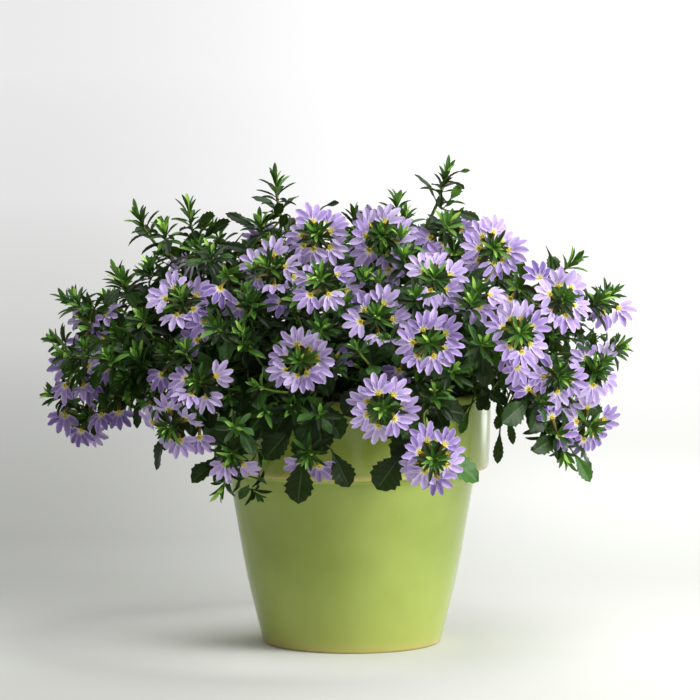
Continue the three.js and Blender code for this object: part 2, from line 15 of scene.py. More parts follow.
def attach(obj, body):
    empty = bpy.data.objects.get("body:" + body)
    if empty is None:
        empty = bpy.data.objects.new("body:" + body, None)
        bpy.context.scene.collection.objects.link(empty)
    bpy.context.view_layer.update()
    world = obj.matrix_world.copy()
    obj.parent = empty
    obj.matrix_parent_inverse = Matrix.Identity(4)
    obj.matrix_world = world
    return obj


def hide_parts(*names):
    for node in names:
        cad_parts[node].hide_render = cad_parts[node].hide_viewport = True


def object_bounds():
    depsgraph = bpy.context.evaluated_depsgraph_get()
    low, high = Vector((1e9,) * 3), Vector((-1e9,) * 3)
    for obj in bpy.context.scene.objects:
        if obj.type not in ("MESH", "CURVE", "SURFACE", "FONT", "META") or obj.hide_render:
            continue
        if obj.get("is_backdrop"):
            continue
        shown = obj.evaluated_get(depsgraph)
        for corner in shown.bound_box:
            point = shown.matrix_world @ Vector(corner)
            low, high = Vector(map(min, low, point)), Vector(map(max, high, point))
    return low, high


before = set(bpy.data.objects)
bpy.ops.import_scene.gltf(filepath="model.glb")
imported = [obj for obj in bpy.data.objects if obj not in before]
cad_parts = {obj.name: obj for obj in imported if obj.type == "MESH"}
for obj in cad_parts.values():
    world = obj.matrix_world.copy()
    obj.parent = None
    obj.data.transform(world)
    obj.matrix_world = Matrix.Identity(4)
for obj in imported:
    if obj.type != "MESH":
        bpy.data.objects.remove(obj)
cad_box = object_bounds()

MM = 0.001
PLAN_SEED, PLANT_SEED, SOIL_SEED = 4, 11, 31
FULL_TURN = 2 * math.pi
UP = np.array([0.0, 0.0, 1.0])
FRONT = np.array([0.0, -1.0, 0.0])

# The pot and its soil
POT_HEIGHT = 182
RIM_RADIUS = 100
WALL_INSIDE = 88
COLLAR = SimpleNamespace(inside=94, edge=128)
SOIL_TOP = 166
SOIL_CROWN = 170
SOIL_RADIUS = 88.2

# Sprays of shoots, in an inner and an outer ring
INNER = SimpleNamespace(sprays=5, first_heading=36, root_reach=22, fork_reach=26, fork_height=222)
OUTER = SimpleNamespace(sprays=10, first_heading=18, root_reach=52, fork_reach=62, fork_height=204)
INNER_REACH = 96
ROOT_HEIGHT = 144.3
STEM_STEP = 30
STEM_SAMPLE = 5
# Where the shoots leave the spray's stem, and how their routes set out, climb and come down again
FORKING = SimpleNamespace(first=0.68, spread=0.29)
ROUTE = SimpleNamespace(level=0.3, rise=18, climb=0.42, end=0.3, drop=0.8, drop_from=214)
ROUTE_POINTS = 201
WAY_STEP = 0.01
# How far a stem's route stops short of the middle of its flower head, or of its bare tuft
SHORT_OF = SimpleNamespace(head=3, tuft=1)
# A solid has a leaf or a flower where one of its corners lies no farther off than this
SAME_PLACE = 0.08

# Flowers: a throat that stands out from the head's axis, and five lobes
THROAT_REACH = 10
THROAT_RISE = 5
TIER_RISE = 4.5
TILTS = (14, 32, -8, 50)
HALF_FLOWER = 1.3
LEAST_PLACES = 5

# The leaves along a shoot, two at most: their sizes and places, how they stand, and how each further try to
# find the solids' own leaf turns and shortens it
LEAF_LENGTHS = (27, 37)
LEAF_WIDTHS = (0.21, 0.25)
LEAF_SPACING = 34
LEAF_FIRST = 17
LEAF_BARE_FOOT = 12
LEAF_RISE = 48
GOLDEN_TURN = 137.5
LEAF_TRIES = 12
LEAF_TRY = SimpleNamespace(turn=43, shrink=0.05)
LEAF_FACE_RISE = 0.5
LEAF_TINT = 0.25
LEAF_BEND = 38
LEAF_HALF_THICKNESS = 0.5
LEAF_RIBS = (0.56, 0.72)
# Large leaves: their bend, how far they look up, how far the hanging ones hang and the standing ones lean to
# the front, and the least length of a stalk
LARGE_BEND = 24
LARGE_FACE_RISE = 0.4
HANGING = 0.35
STANDING_LEAN = 4
SHORTEST_STALK = 2
# How far a blade's sides rise, as a share of the distance from the midrib
FOLD = 0.16

# One row for each shoot that flowers: the middle of its flower head, the heading that the head faces
# (0 is the front, 90 is +X), its lift above the level, and its number of flowers
HEADS = [
    (-24, -62, 293, -5, 25, 7), (21, -63, 293, 1, 19, 7), (97, -50, 284, 14, 14, 8),
    (56, -95, 263, 5, 35, 6), (65, 4, 293, 10, 30, 3), (-117, -84, 246, -15, 48, 5),
    (-33, -135, 213, -12, 12, 8), (52, -135, 226, 5, 12, 7), (113, -110, 230, 15, 12, 7),
    (21, -160, 185, -2, 0, 7), (54, -150, 149, 8, 2, 8), (17, -112, 238, 0, 32, 5),
    (143, -70, 250, 25, 15, 6), (165, -60, 200, 28, 5, 5), (164, -46, 163, 30, -10, 5),
    (139, -82, 203, 30, -20, 3), (84, -92, 252, 10, 34, 3), (178, -15, 244, 33, 36, 2),
    (-29, -132, 154, -5, -14, 2), (-81, -120, 152, -10, -14, 2), (-181, -30, 229, -30, 30, 4),
    (-190, -56, 199, -30, 12, 4), (-188, -24, 167, -38, -8, 4), (-121, -112, 169, -30, -12, 5),
    (-101, -122, 198, -24, 10, 4), (-54, -82, 270, -27, 32, 5), (-105, -18, 277, -30, 40, 3),
    (-20, -112, 264, -12, 33, 4), (-58, 60, 280, 205, 45, 5), (22, 74, 284, 174, 45, 5),
    (96, 60, 272, 138, 35, 5), (-115, 86, 260, 222, 25, 4), (-16, 124, 264, 186, 22, 4),
    (74, 128, 250, 150, 16, 4), (146, 82, 234, 122, 10, 4), (-168, 56, 214, 246, 6, 4),
    (-86, 146, 214, 210, 6, 4), (2, 162, 206, 180, 2, 4), (94, 152, 190, 150, -4, 4),
    (164, 88, 178, 118, -6, 3), (-136, 112, 168, 228, -8, 3), (40, 158, 152, 166, -10, 3),
]

# One row for each shoot that ends in a bare tuft: the tuft's base, and the heading and lift of its tip
TIPS = [
    (-150, -10, 302, -60, 62), (-116, -4, 306, -40, 80), (-54, -10, 326, -30, 82),
    (32, -8, 312, 30, 80), (66, -4, 332, 50, 74), (154, -22, 272, 75, 40),
    (172, -28, 248, 80, 30), (181, -42, 212, 75, 10), (-200, -6, 243, -80, 42),
    (-166, 8, 258, -94, 66), (-196, -92, 214, -66, 10), (-88, -116, 128, -30, -45),
    (-146, -92, 208, -48, 48), (-92, -126, 236, -20, 30), (-98, 40, 290, 240, 56),
    (2, 42, 300, 180, 68), (74, 50, 296, 130, 60), (-176, 92, 236, 240, 35),
    (148, -72, 146, 20, -50),
]

# Large leaves that hang low or stand out: where each one's tip lies, its length and its half width
LARGE = [
    (-136, -90, 134, 34, 8), (-107, -118, 131, 34, 9), (-37, -138, 116, 36, 11), (-2, -142, 128, 30, 9),
    (17, -146, 127, 36, 12), (92, -132, 126, 44, 10), (106, -112, 138, 32, 7), (168, -52, 124, 34, 9),
    (-174, -76, 178, 36, 9), (-90, -34, 312, 32, 7), (-80, -44, 286, 32, 6), (162, -62, 236, 30, 9),
]

# A leaf's tint: 0 is an old dark leaf, 1 is a new yellow-green one. One large leaf, given by its place in
# the list from 0, is paler, and those on the lit side, beyond a given x, are painted paler as painted light.
PALE_LARGE = 5
PALE_LARGE_TINT = 0.5
PAINTED_LIGHT_SIDE = 84
PAINTED_LIGHT_TINT = 0.2

# A flower's age: 0 is freshly open and pale, 1 is old and deep violet, and beyond 1 it has withered. Heads
# with withered flowers are given by their place in the list from 1. Their lobes are narrow and hang down.
HEAD_AGE = 0.3
# Single flowers among the leaves are given more age, which darkens them partly as painted shade where they
# sit in the foliage.
LOOSE_AGE_PAINTED_SHADE = 0.5
WITHERED = SimpleNamespace(heads=(27,), age=1.5, tint=2, width=0.3, droop=3)

# Single flowers among the leaves, which the solids leave out: where each one's throat lies, and the way its
# middle lobe points as seen from the front (0 is up, 90 is to the right)
LOOSE = [
    (-203, -40, 167, 190), (-183, -50, 235, 160), (-175, -58, 224, 250), (-191, -48, 216, 200),
    (-188, -50, 206, 140), (-174, -62, 204, 215), (-183, -56, 189, 180), (-100, -100, 239, 200),
    (-105, -102, 225, 255), (104, -100, 216, 150), (113, -102, 207, 190), (-12, -110, 215, 120),
    (-106, -118, 162, 176), (-92, -100, 262, 205), (-42, -88, 270, 140), (-49, -96, 254, 235),
    (-78, -98, 248, 232), (-3, -98, 258, 100), (24, -80, 274, 182), (63, -58, 280, 250),
    (110, -70, 254, 232), (132, -74, 266, 352), (126, -96, 191, 322), (139, -84, 201, 268),
    (141, -82, 168, 342), (146, -78, 158, 118), (34, -120, 208, 205), (-176, -66, 171, 195),
    (-163, -70, 174, 165), (-191, -60, 222, 205), (-131, -100, 202, 210), (-190, -50, 157, 185),
    (-120, -108, 194, 150),
]

# More large leaves, given as above, on stalks that the solids leave out. The first five stand again where
# the solids' own leaf lies some way off, because no stem of theirs comes near enough.
LARGE_MORE = [LARGE[again] for again in (2, 3, 4, 0, 7)] + [
    (-60, -134, 146, 34, 11), (-20, -134, 150, 34, 10), (-8, -132, 160, 32, 10), (144, -74, 139, 34, 10),
    (152, -70, 152, 28, 8), (-150, -80, 162, 30, 9), (-181, -52, 154, 22, 5), (-70, -120, 153, 36, 10),
    (-37, -124, 172, 38, 11), (-55, -126, 160, 36, 11), (-19, -128, 160, 34, 11), (-77, -118, 177, 36, 11),
    (-98, -112, 165, 32, 10), (-5, -126, 176, 34, 11), (64, -122, 164, 34, 9), (40, -128, 176, 34, 10),
    (78, -116, 176, 36, 10), (104, -104, 168, 34, 9), (124, -92, 160, 34, 9), (-120, -102, 150, 32, 9),
    (-86, -30, 304, 34, 6), (-66, -26, 300, 30, 6),
]

# Broad leaves that stand out: where the foot and the tip of each one lie as seen from the front, its depth,
# its half width and its tint
STANDING = [
    (85, 187, 96, 174, -68, 4.8, 0.05), (98, 188, 88, 174, -70, 4.8, 0.08),
    (91, 190, 104, 179, -66, 4.4, 0.05), (107, 181, 115, 161, -50, 4.4, 0.1),
    (102, 180, 106, 167, -52, 4.0, 0.05), (105, 158, 103, 133, -40, 4.0, 0.08),
    (110, 169, 114, 147, -44, 3.2, 0.08), (108, 175, 102, 158, -46, 3.8, 0.05),
    (132, 179, 123, 167, -60, 3.2, 0.25), (85, 179, 71, 168, -68, 4.4, 0.05),
    (83, 175, 76, 157, -66, 3.6, 0.35), (122, 183, 112, 173, -50, 4.4, 0.05),
    (128, 179, 135, 165, -54, 4.0, 0.08), (142, 162, 139, 144, -60, 4.2, 0.1),
    (100, 189, 108, 176, -56, 4.2, 0.05), (-64, 295, -90, 309, -12, 4.3, 0.05),
    (-102, 288, -72, 282, -14, 4.4, 0.1), (-106, 289, -98, 300, -14, 3.0, 0.15),
    (-108, 288, -112, 297, -14, 2.5, 0.05), (-56, 305, -49, 316, -14, 4.6, 0.05),
    (-52, 297, -46, 308, -16, 4.4, 0.05), (69, 317, 78, 328, -8, 4.2, 0.6),
    (72, 331, 80, 326, -8, 2.4, 0.1), (64, 325, 62, 313, -10, 3.3, 0.05),
    (75, 338, 84, 339, -8, 2.2, 0.4), (65, 312, 73, 318, -8, 2.2, 0.5),
    (67, 311, 91, 304, -12, 4.6, 0.05), (-128, 275, -143, 248, -20, 4.4, 0.1),
    (171, 250, 162, 235, -34, 4.8, 0.3), (176, 247, 184, 239, -30, 2.6, 0.2),
    (150, 225, 168, 216, -62, 4.4, 0.3), (97, 277, 81, 265, -80, 4.2, 0.1),
    (-20, 315, -9, 318, -40, 2.6, 0.1), (27, 299, 24, 315, -18, 3.0, 0.05),
    (154, 146, 167, 124, -74, 5.6, 0.4),
]

# Tufts that end the side shoots at the front, which the solids leave out: each one's base, and the heading
# and lift of its tip
TUFTS = [
    (-184, -100, 219, -30, 50), (-168, -98, 211, -20, 40), (-65, -26, 301, -20, 60),
    (67, -50, 302, 20, 45), (37, -40, 305, 5, 75), (-99, -52, 281, -20, 60),
    (-194, -34, 247, -50, 60), (-161, -30, 260, -40, 70), (-143, -34, 269, -30, 75),
    (-133, -22, 295, -20, 60), (-206, -62, 221, -60, 25), (-148, -88, 213, -20, 45),
    (-115, -110, 218, -10, 50), (-208, -52, 182, -60, 20), (-37, -112, 254, -5, 40),
    (-6, -116, 251, 0, 45), (-69, -108, 250, -15, 50), (-21, -128, 235, 0, 30),
    (34, -74, 293, 5, 60), (36, -92, 281, 5, 50), (82, -112, 251, 10, 45),
    (174, -44, 248, 60, 40), (186, -56, 217, 60, 20), (174, -72, 206, 45, 30),
    (68, -140, 207, 5, 30), (-40, -128, 183, -5, 20), (57, -136, 192, 10, 40),
    (-68, -84, 270, -20, 50), (44, -116, 256, 0, 35), (9, -96, 267, 0, 50),
    (-145, -84, 238, -25, 40), (-157, -84, 197, -30, 20), (-75, -116, 224, -10, 30),
    (89, -128, 225, 15, 20),
]


# Directions
def unit(v):
    return v / math.sqrt(v @ v)


def cross(a, b):
    return np.array([a[1] * b[2] - a[2] * b[1], a[2] * b[0] - a[0] * b[2], a[0] * b[1] - a[1] * b[0]])


def cos(degrees):
    return math.cos(math.radians(degrees))


def sin(degrees):
    return math.sin(math.radians(degrees))


def mix(a, b, share):
    return a + (b - a) * share


def facing(heading, lift):
    """The way of a heading, where 0 is the front and 90 is +X, lifted above the level."""
    return np.array([sin(heading) * cos(lift), -cos(heading) * cos(lift), sin(lift)])


def square_to(axis, wanted):
    """The way square to an axis that lies nearest to a wanted one."""
    return unit(wanted - axis * (wanted @ axis))


def turned(v, axis, angle):
    return v * cos(angle) + cross(axis, v) * sin(angle) + axis * ((axis @ v) * (1 - cos(angle)))


def around(axis, angle):
    start = square_to(axis, FRONT if abs(axis[2]) > 0.95 else UP)
    return turned(start, axis, angle)


def draws_from(seed):
    """Repeatable random numbers from 0 to 1, the same as the solids' plan uses."""
    state = seed
    while True:
        state = (state * 1664525 + 1013904223) % 2**32
        yield state / 2**32


# The plan: the same routes as the solids have
class Route:
    """A cubic curve that is read by shares of its length."""

    def __init__(self, *controls):
        self.controls = controls
        self.times = np.linspace(0, 1, ROUTE_POINTS)
        steps = np.diff(self.bezier(self.times), axis=0)
        self.reached = np.concatenate([[0], np.cumsum(np.linalg.norm(steps, axis=1))])
        self.length = self.reached[-1]

    def bezier(self, t):
        t = np.atleast_1d(t)[:, None]
        a, b, c, d = self.controls
        return a * (1 - t) ** 3 + b * 3 * t * (1 - t) ** 2 + c * 3 * t**2 * (1 - t) + d * t**3

    def at(self, shares):
        return self.bezier(np.interp(np.atleast_1d(shares) * self.length, self.reached, self.times))

    def way(self, share):
        near, far = self.at([max(share - WAY_STEP, 0), min(share + WAY_STEP, 1)])
        return unit(far - near)


def spray_of(end):
    """The ring and the sector of the spray that a shoot belongs to, by where it ends."""
    inner = math.hypot(end[0], end[1]) < INNER_REACH
    ring = INNER if inner else OUTER
    width = 360 / ring.sprays
    heading = math.degrees(math.atan2(end[0], -end[1]))
    sector = int((((heading - ring.first_heading) % 360) + width / 2) / width) % ring.sprays
    return ring, sector


def shoot_route(start, end, axis):
    level = np.array([end[0] - start[0], end[1] - start[1], 0])
    climb = max(end[2] - start[2], 0)
    drop = max(ROUTE.drop_from - end[2], 0)
    first = start + level * ROUTE.level + UP * (ROUTE.climb * climb + ROUTE.rise)
    last = end - axis * (ROUTE.end * math.dist(start, end)) + UP * (ROUTE.drop * drop)
    return Route(start, first, last, end)


def stem_place(shoot, share):
    """A point on the solid model's straight-sided stem, and the way that it runs there."""
    place = min(share * shoot.steps, shoot.steps - 1e-6)
    index = int(place)
    near, far = shoot.corners[index], shoot.corners[index + 1]
    return mix(near, far, place - index), unit(far - near)


def plan_shoots():
    """The shoots of the plant, each with its spray, its stem and the heading of its leaves."""
    draws = draws_from(PLAN_SEED)
    next(draws)
    shoots = []
    for x, y, z, heading, lift, *flowers in HEADS + TIPS:
        middle = np.array([x, y, z], float)
        shoots.append(SimpleNamespace(
            middle=middle,
            axis=facing(heading, lift),
            flowers=flowers[0] if flowers else 0,
            turn=360 * next(draws),
            leaf_turn=360 * next(draws),
            spray=spray_of(middle),
            leaves=[], fans=[], extra=[], stalks=[], side_shoots=[],
        ))
    sprays = {}
    for shoot in shoots:
        key = (shoot.spray[0].sprays, shoot.spray[1])
        sprays.setdefault(key, []).append(shoot)
    for number, members in enumerate(sprays.values(), 1):
        ring, sector = members[0].spray
        way = facing(ring.first_heading + sector * 360 / ring.sprays, 0)
        root = way * ring.root_reach + UP * ROOT_HEIGHT
        fork = way * ring.fork_reach + UP * ring.fork_height
        members.sort(key=lambda shoot: shoot.middle[2])
        for i, shoot in enumerate(members):
            share = i / (len(members) - 1) if len(members) > 1 else 1
            shoot.start = mix(root, fork, FORKING.first + FORKING.spread * share)
            end = shoot.middle - shoot.axis * (SHORT_OF.head if shoot.flowers else SHORT_OF.tuft)
            shoot.route = shoot_route(shoot.start, end, shoot.axis)
            shoot.length = shoot.route.length
            shoot.steps = max(3, int(math.floor(shoot.length / STEM_STEP + 0.5)))
            shoot.corners = shoot.route.at(np.linspace(0, 1, shoot.steps + 1))
            shoot.node = f"leafy_spray_{number:02d}"
            shoot.root, shoot.fork = root, fork
    return shoots


def corners_of(node):
    """The corners of a solid, in millimetres, as a tree that finds the nearest one."""
    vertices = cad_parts[node].data.vertices
    tree = KDTree(len(vertices))
    for i, vertex in enumerate(vertices):
        tree.insert(vertex.co / MM, i)
    tree.balance()
    return tree


def built(tree, point):
    """Whether a solid has a corner at a point, and so has the leaf or flower that puts it there."""
    return tree.find(Vector(point))[2] < SAME_PLACE


def leaf_point(leaf, along, across, rise):
    """A point on a bent leaf blade, by its share of the length and its offsets from the midrib."""
    bend = math.radians(leaf.bend)
    arc = leaf.length / bend
    angle = bend * np.asarray(along, float)
    lift = rise + FOLD * np.abs(across)
    forward = (arc + lift) * np.sin(angle)
    up = arc * (np.cos(angle) - 1) + lift * np.cos(angle)
    side = cross(leaf.up, leaf.forward)
    return leaf.base + np.multiply.outer(forward, leaf.forward) + np.multiply.outer(up, leaf.up) \
        + np.multiply.outer(np.asarray(across, float), side)


def rising_leaf(base, way, turn, rise, face, **form):
    """A leaf that rises from its stem at a turn around it, and faces as nearly as it can a given way."""
    forward = around(way, turn) * cos(rise) + way * sin(rise)
    return SimpleNamespace(base=base, forward=forward, up=square_to(forward, face), **form)


def leaf_at(shoot, order, attempt):
    """One of the places that the solids may have for the leaf of a given order on a shoot."""
    length = LEAF_LENGTHS[order] * (1 - LEAF_TRY.shrink * attempt)
    share = 1 - (LEAF_FIRST + LEAF_SPACING * order) / shoot.length
    base, way = stem_place(shoot, share)
    turn = shoot.leaf_turn + GOLDEN_TURN * order + LEAF_TRY.turn * attempt
    return rising_leaf(
        base, way, turn, LEAF_RISE, way + UP * LEAF_FACE_RISE, length=length,
        half_width=length * LEAF_WIDTHS[order], bend=LEAF_BEND, toothed=order == 1, tint=LEAF_TINT,
        share=share, shoot=shoot, rib=LEAF_RIBS[order])


def large_tint_painted_light(x):
    """Large leaves are dark, but painted paler on the side where the light falls, as painted light."""
    return PAINTED_LIGHT_TINT if x > PAINTED_LIGHT_SIDE else 0.0


def bow(bend):
    """How much longer a bent leaf is than the straight way to its tip."""
    return math.radians(bend / 2) / sin(bend / 2)


def outward_face(x, y):
    """The way that a large leaf's upper side faces: away from the plant's middle, and a little up."""
    return np.array([x, y, math.hypot(x, y) * LARGE_FACE_RISE])


def arched_leaf(base, tip, face, length, half_width, tint):
    """A toothed leaf that runs in an arc from its base to its tip."""
    half = LARGE_BEND / 2
    way = unit(tip - base)
    face = square_to(way, face)
    return SimpleNamespace(
        base=base, forward=way * cos(half) + face * sin(half), up=face * cos(half) - way * sin(half),
        length=length, half_width=half_width, bend=LARGE_BEND, toothed=True, tint=tint)


def large_leaves(shoots, row):
    """The places that the solids may have for a large leaf, those first that suit its length best."""
    x, y, z, length, half_width = row
    tip = np.array([x, y, z], float)
    chord = length / bow(LARGE_BEND)
    places = []
    for shoot in shoots:
        count = math.ceil(shoot.length / STEM_SAMPLE)
        for share in np.arange(1, count - 1) / count:
            places.append((shoot, share, stem_place(shoot, share)[0]))
    places.sort(key=lambda place: abs(math.dist(place[2], tip) - chord))
    for shoot, share, base in places[:LEAF_TRIES]:
        leaf = arched_leaf(base, tip, outward_face(x, y), length, half_width, large_tint_painted_light(x))
        leaf.share, leaf.shoot, leaf.rib = share, shoot, LEAF_RIBS[1]
        yield leaf


def find_leaves(shoots, trees):
    """Gives each shoot the leaves that its solid has."""
    def first_built(leaves):
        for leaf in leaves:
            top = leaf_point(leaf, leaf.rib, 0, LEAF_HALF_THICKNESS)
            if built(trees[leaf.shoot.node], top):
                leaf.shoot.leaves.append(leaf)
                return leaf
        return None

    for number, row in enumerate(LARGE):
        leaf = first_built(large_leaves(shoots, row))
        if leaf and number == PALE_LARGE:
            leaf.tint = PALE_LARGE_TINT
    for shoot in shoots:
        room = shoot.length - LEAF_FIRST - LEAF_BARE_FOOT
        for order in range(min(2, 1 + int(room // LEAF_SPACING))):
            first_built(leaf_at(shoot, order, attempt) for attempt in range(LEAF_TRIES))


def places_of(head):
    return max(head.flowers, LEAST_PLACES)


def opened_fan(middle, axis, outward, throat, tilt, tier):
    """A flower that opens outward from its axis, tilted up by an angle."""
    forward = outward * cos(tilt) + axis * sin(tilt)
    up = square_to(forward, axis)
    return SimpleNamespace(
        middle=middle, axis=axis, outward=outward, throat=throat, forward=forward, up=up,
        side=cross(up, forward), tier=tier)


def fan_frame(head, index, tilt):
    """One of the places that the solids may have for a flower of a head."""
    step = 360 / places_of(head)
    first = 180 - (head.flowers - 1) * step / 2 if head.flowers < LEAST_PLACES else head.turn
    last = index == head.flowers - 1 and head.flowers % 2 == 1
    tier = 2 if last else index % 2
    outward = around(head.axis, first + step * index)
    throat = head.middle + outward * THROAT_REACH + head.axis * (THROAT_RISE + tier * TIER_RISE)
    return opened_fan(head.middle, head.axis, outward, throat, tilt, tier)


def find_fans(heads, trees):
    """Gives each flower head the flowers that its solid has."""
    for head in heads:
        for index in range(head.flowers):
            for tilt in TILTS:
                fan = fan_frame(head, index, tilt)
                if built(trees[head.bloom], fan.throat + fan.up * HALF_FLOWER):
                    head.fans.append(fan)
                    break


def show(name, data):
    """Puts a mesh, a lamp or a camera in the scene."""
    made = bpy.data.objects.new(name, data)
    bpy.context.scene.collection.objects.link(made)
    return made


# Mesh making
class Skin:
    """Collects blades and tubes into one mesh, with a place on each blade and a tint at every point."""

    def __init__(self):
        self.points, self.faces, self.slots, self.places, self.tints = [], [], [], [], []
        self.count = 0

    def grid(self, points, places, tint, slot, closed=False):
        """Adds a grid of points, rows by columns. A closed grid joins its last column to its first."""
        rows, columns = points.shape[:2]
        index = np.arange(rows * columns).reshape(rows, columns) + self.count
        if closed:
            index = np.concatenate([index, index[:, :1]], axis=1)
        faces = np.stack([index[:-1, :-1], index[:-1, 1:], index[1:, 1:], index[1:, :-1]], axis=-1)
        faces = faces.reshape(-1, 4)
        self.faces.extend(faces.tolist())
        self.slots.extend([slot] * len(faces))
        self.points.append(points.reshape(-1, 3))
        self.places.append(places.reshape(-1, 2))
        self.tints.append(np.broadcast_to(tint, (rows, columns)).reshape(-1))
        self.count += rows * columns

    def fan(self, ring, middle, place, tint, slot):
        """Closes a ring of points with triangles to its middle."""
        start = self.count
        self.points.append(np.vstack([ring, middle]))
        count = len(ring)
        self.faces.extend([start + i, start + (i + 1) % count, start + count] for i in range(count))
        self.slots.extend([slot] * count)
        self.places.append(np.tile(place, (count + 1, 1)).astype(float))
        self.tints.append(np.full(count + 1, tint))
        self.count += count + 1

    def make(self, name, materials):
        mesh = bpy.data.meshes.new(name)
        mesh.from_pydata((np.concatenate(self.points) * MM).tolist(), [], self.faces)
        for material in materials:
            mesh.materials.append(material)
        mesh.polygons.foreach_set("material_index", self.slots)
        mesh.polygons.foreach_set("use_smooth", [True] * len(self.faces))
        tint = mesh.attributes.new("tint", "FLOAT", "POINT")
        tint.data.foreach_set("value", np.concatenate(self.tints))
        corners = np.empty(len(mesh.loops), dtype=np.int32)
        mesh.loops.foreach_get("vertex_index", corners)
        layer = mesh.uv_layers.new(name="blade")
        layer.data.foreach_set("uv", np.concatenate(self.places)[corners].reshape(-1))
        return show(name, mesh)


def swelling(along, start_power, end_power):
    """A blade's half width along its length, 1 where it is widest."""
    widest = start_power / (start_power + end_power)
    return (along / widest) ** start_power * ((1 - along) / (1 - widest)) ** end_power


WIDE_COLUMNS = np.array([-1, -0.6, -0.25, 0, 0.25, 0.6, 1])
SLIM_COLUMNS = np.array([-1, 0, 1])
BARE_ROWS = np.array([0, 0.06, 0.13, 0.21, 0.3])
# The teeth of a leaf's edge: where they begin and end, how many, how deep, and where each one peaks
TEETH = SimpleNamespace(first=0.36, last=0.95, coarse=5, fine=3, depth=0.17, slight=0.1, peak=0.72)
# A leaf's blade: the powers of its swelling, its least and last half width, the waves of its edges and
# sides, the groove along its midrib, and how much its tint varies
BLADE = SimpleNamespace(
    start=2.1, end=0.95, plain_end=1.2, least=0.55, tip=0.15, ripple=0.07, ripples=2.2, sway=0.035,
    sways=1.7, groove=0.4, shade=0.12)
# A bract's blade: the powers of its swelling, its width at the foot and the tip, and how its sides rise
BRACT_ROWS = np.array([0, 0.12, 0.3, 0.5, 0.7, 0.87, 1])
BRACT = SimpleNamespace(start=0.95, end=0.75, foot=0.45, tip=0.15, cup=0.45)


def leaf_rows(teeth, depth):
    """The rows of a leaf's grid, and how far each one's edge stands out at the teeth."""
    pitch = (TEETH.last - TEETH.first) / teeth
    valleys = TEETH.first + pitch * np.arange(teeth)
    peaks = valleys + pitch * TEETH.peak
    rows = np.concatenate([BARE_ROWS, np.stack([valleys, peaks], axis=1).reshape(-1), [TEETH.last, 1]])
    edges = np.ones(len(rows))
    inner = len(BARE_ROWS)
    edges[inner:inner + 2 * teeth:2] -= depth
    edges[-2] -= depth
    return rows, edges


def places_of_grid(columns, rows):
    """How far across and how far along each point of a blade lies."""
    return np.stack(np.broadcast_arrays(columns, rows), axis=-1)


def add_leaf(skin, leaf, draws, slot):
    teeth, depth = (TEETH.coarse, TEETH.depth) if leaf.toothed else (TEETH.fine, TEETH.slight)
    rows, edges = leaf_rows(teeth, depth)
    end = BLADE.end if leaf.toothed else BLADE.plain_end
    width = swelling(np.clip(rows, 0.002, 0.998), BLADE.start, end) * leaf.half_width
    width = np.maximum(width, BLADE.least)
    width[-1] = BLADE.tip
    across = np.multiply.outer(width, WIDE_COLUMNS)
    across[:, [0, -1]] *= edges[:, None]
    along = rows[:, None]
    phase = FULL_TURN * next(draws)
    ripple = np.sin(FULL_TURN * BLADE.ripples * along + phase) * WIDE_COLUMNS**2
    sway = np.sin(FULL_TURN * BLADE.sways * along + 2 * phase) * WIDE_COLUMNS
    rise = (BLADE.ripple * ripple + BLADE.sway * sway) * leaf.half_width - BLADE.groove * (WIDE_COLUMNS == 0)
    points = leaf_point(leaf, along, across, rise)
    places = places_of_grid(WIDE_COLUMNS, along)
    skin.grid(points, places, leaf.tint + BLADE.shade * (next(draws) - 0.5), slot)


def add_bract(skin, base, way, face, length, half_width, bend, tint, slot):
    bract = SimpleNamespace(base=base, forward=way, up=face, length=length, bend=bend)
    width = swelling(np.clip(BRACT_ROWS, 0.01, 0.99), BRACT.start, BRACT.end) * half_width
    width[0], width[-1] = half_width * BRACT.foot, BRACT.tip
    across = np.multiply.outer(width, SLIM_COLUMNS)
    along = BRACT_ROWS[:, None]
    points = leaf_point(bract, along, across, BRACT.cup * np.abs(across))
    skin.grid(points, places_of_grid(SLIM_COLUMNS, along), tint, slot)


# A tuft's bracts: how much their lean, length and tint vary, below which lean they face inwards, how far off
# the axis they start, how they bend, and how many are pale
TUFT = SimpleNamespace(
    lean=26, steep=20, foot=0.6, least=0.75, vary=0.45, bend=(34, 12), shade=0.2, pale=0.2, pale_tint=0.42)


def add_tuft(skin, base, axis, turn, form, draws, slot):
    """Narrow bracts in a spiral. The lowest lean out and are long and dark, the inner ones stand and are
    pale."""
    for k in range(form.bracts):
        share = k / (form.bracts - 1)
        outward = around(axis, turn + GOLDEN_TURN * k)
        lean = mix(*form.lean, share**0.8) + TUFT.lean * (next(draws) - 0.5)
        way = outward * sin(lean) + axis * cos(lean)
        face = square_to(way, axis)
        if lean < TUFT.steep:
            face = square_to(way, -outward)
        start = base + axis * mix(*form.height, share) + outward * TUFT.foot
        length = mix(*form.length, share) * (TUFT.least + TUFT.vary * next(draws))
        half_width = mix(*form.width, share)
        tint = mix(*form.tint, share) + TUFT.shade * (next(draws) - 0.5)
        if next(draws) < TUFT.pale:
            tint += TUFT.pale_tint
        bend = mix(*TUFT.bend, share) * (0.5 + next(draws))
        add_bract(skin, start, way, face, length, half_width, bend, tint, slot)


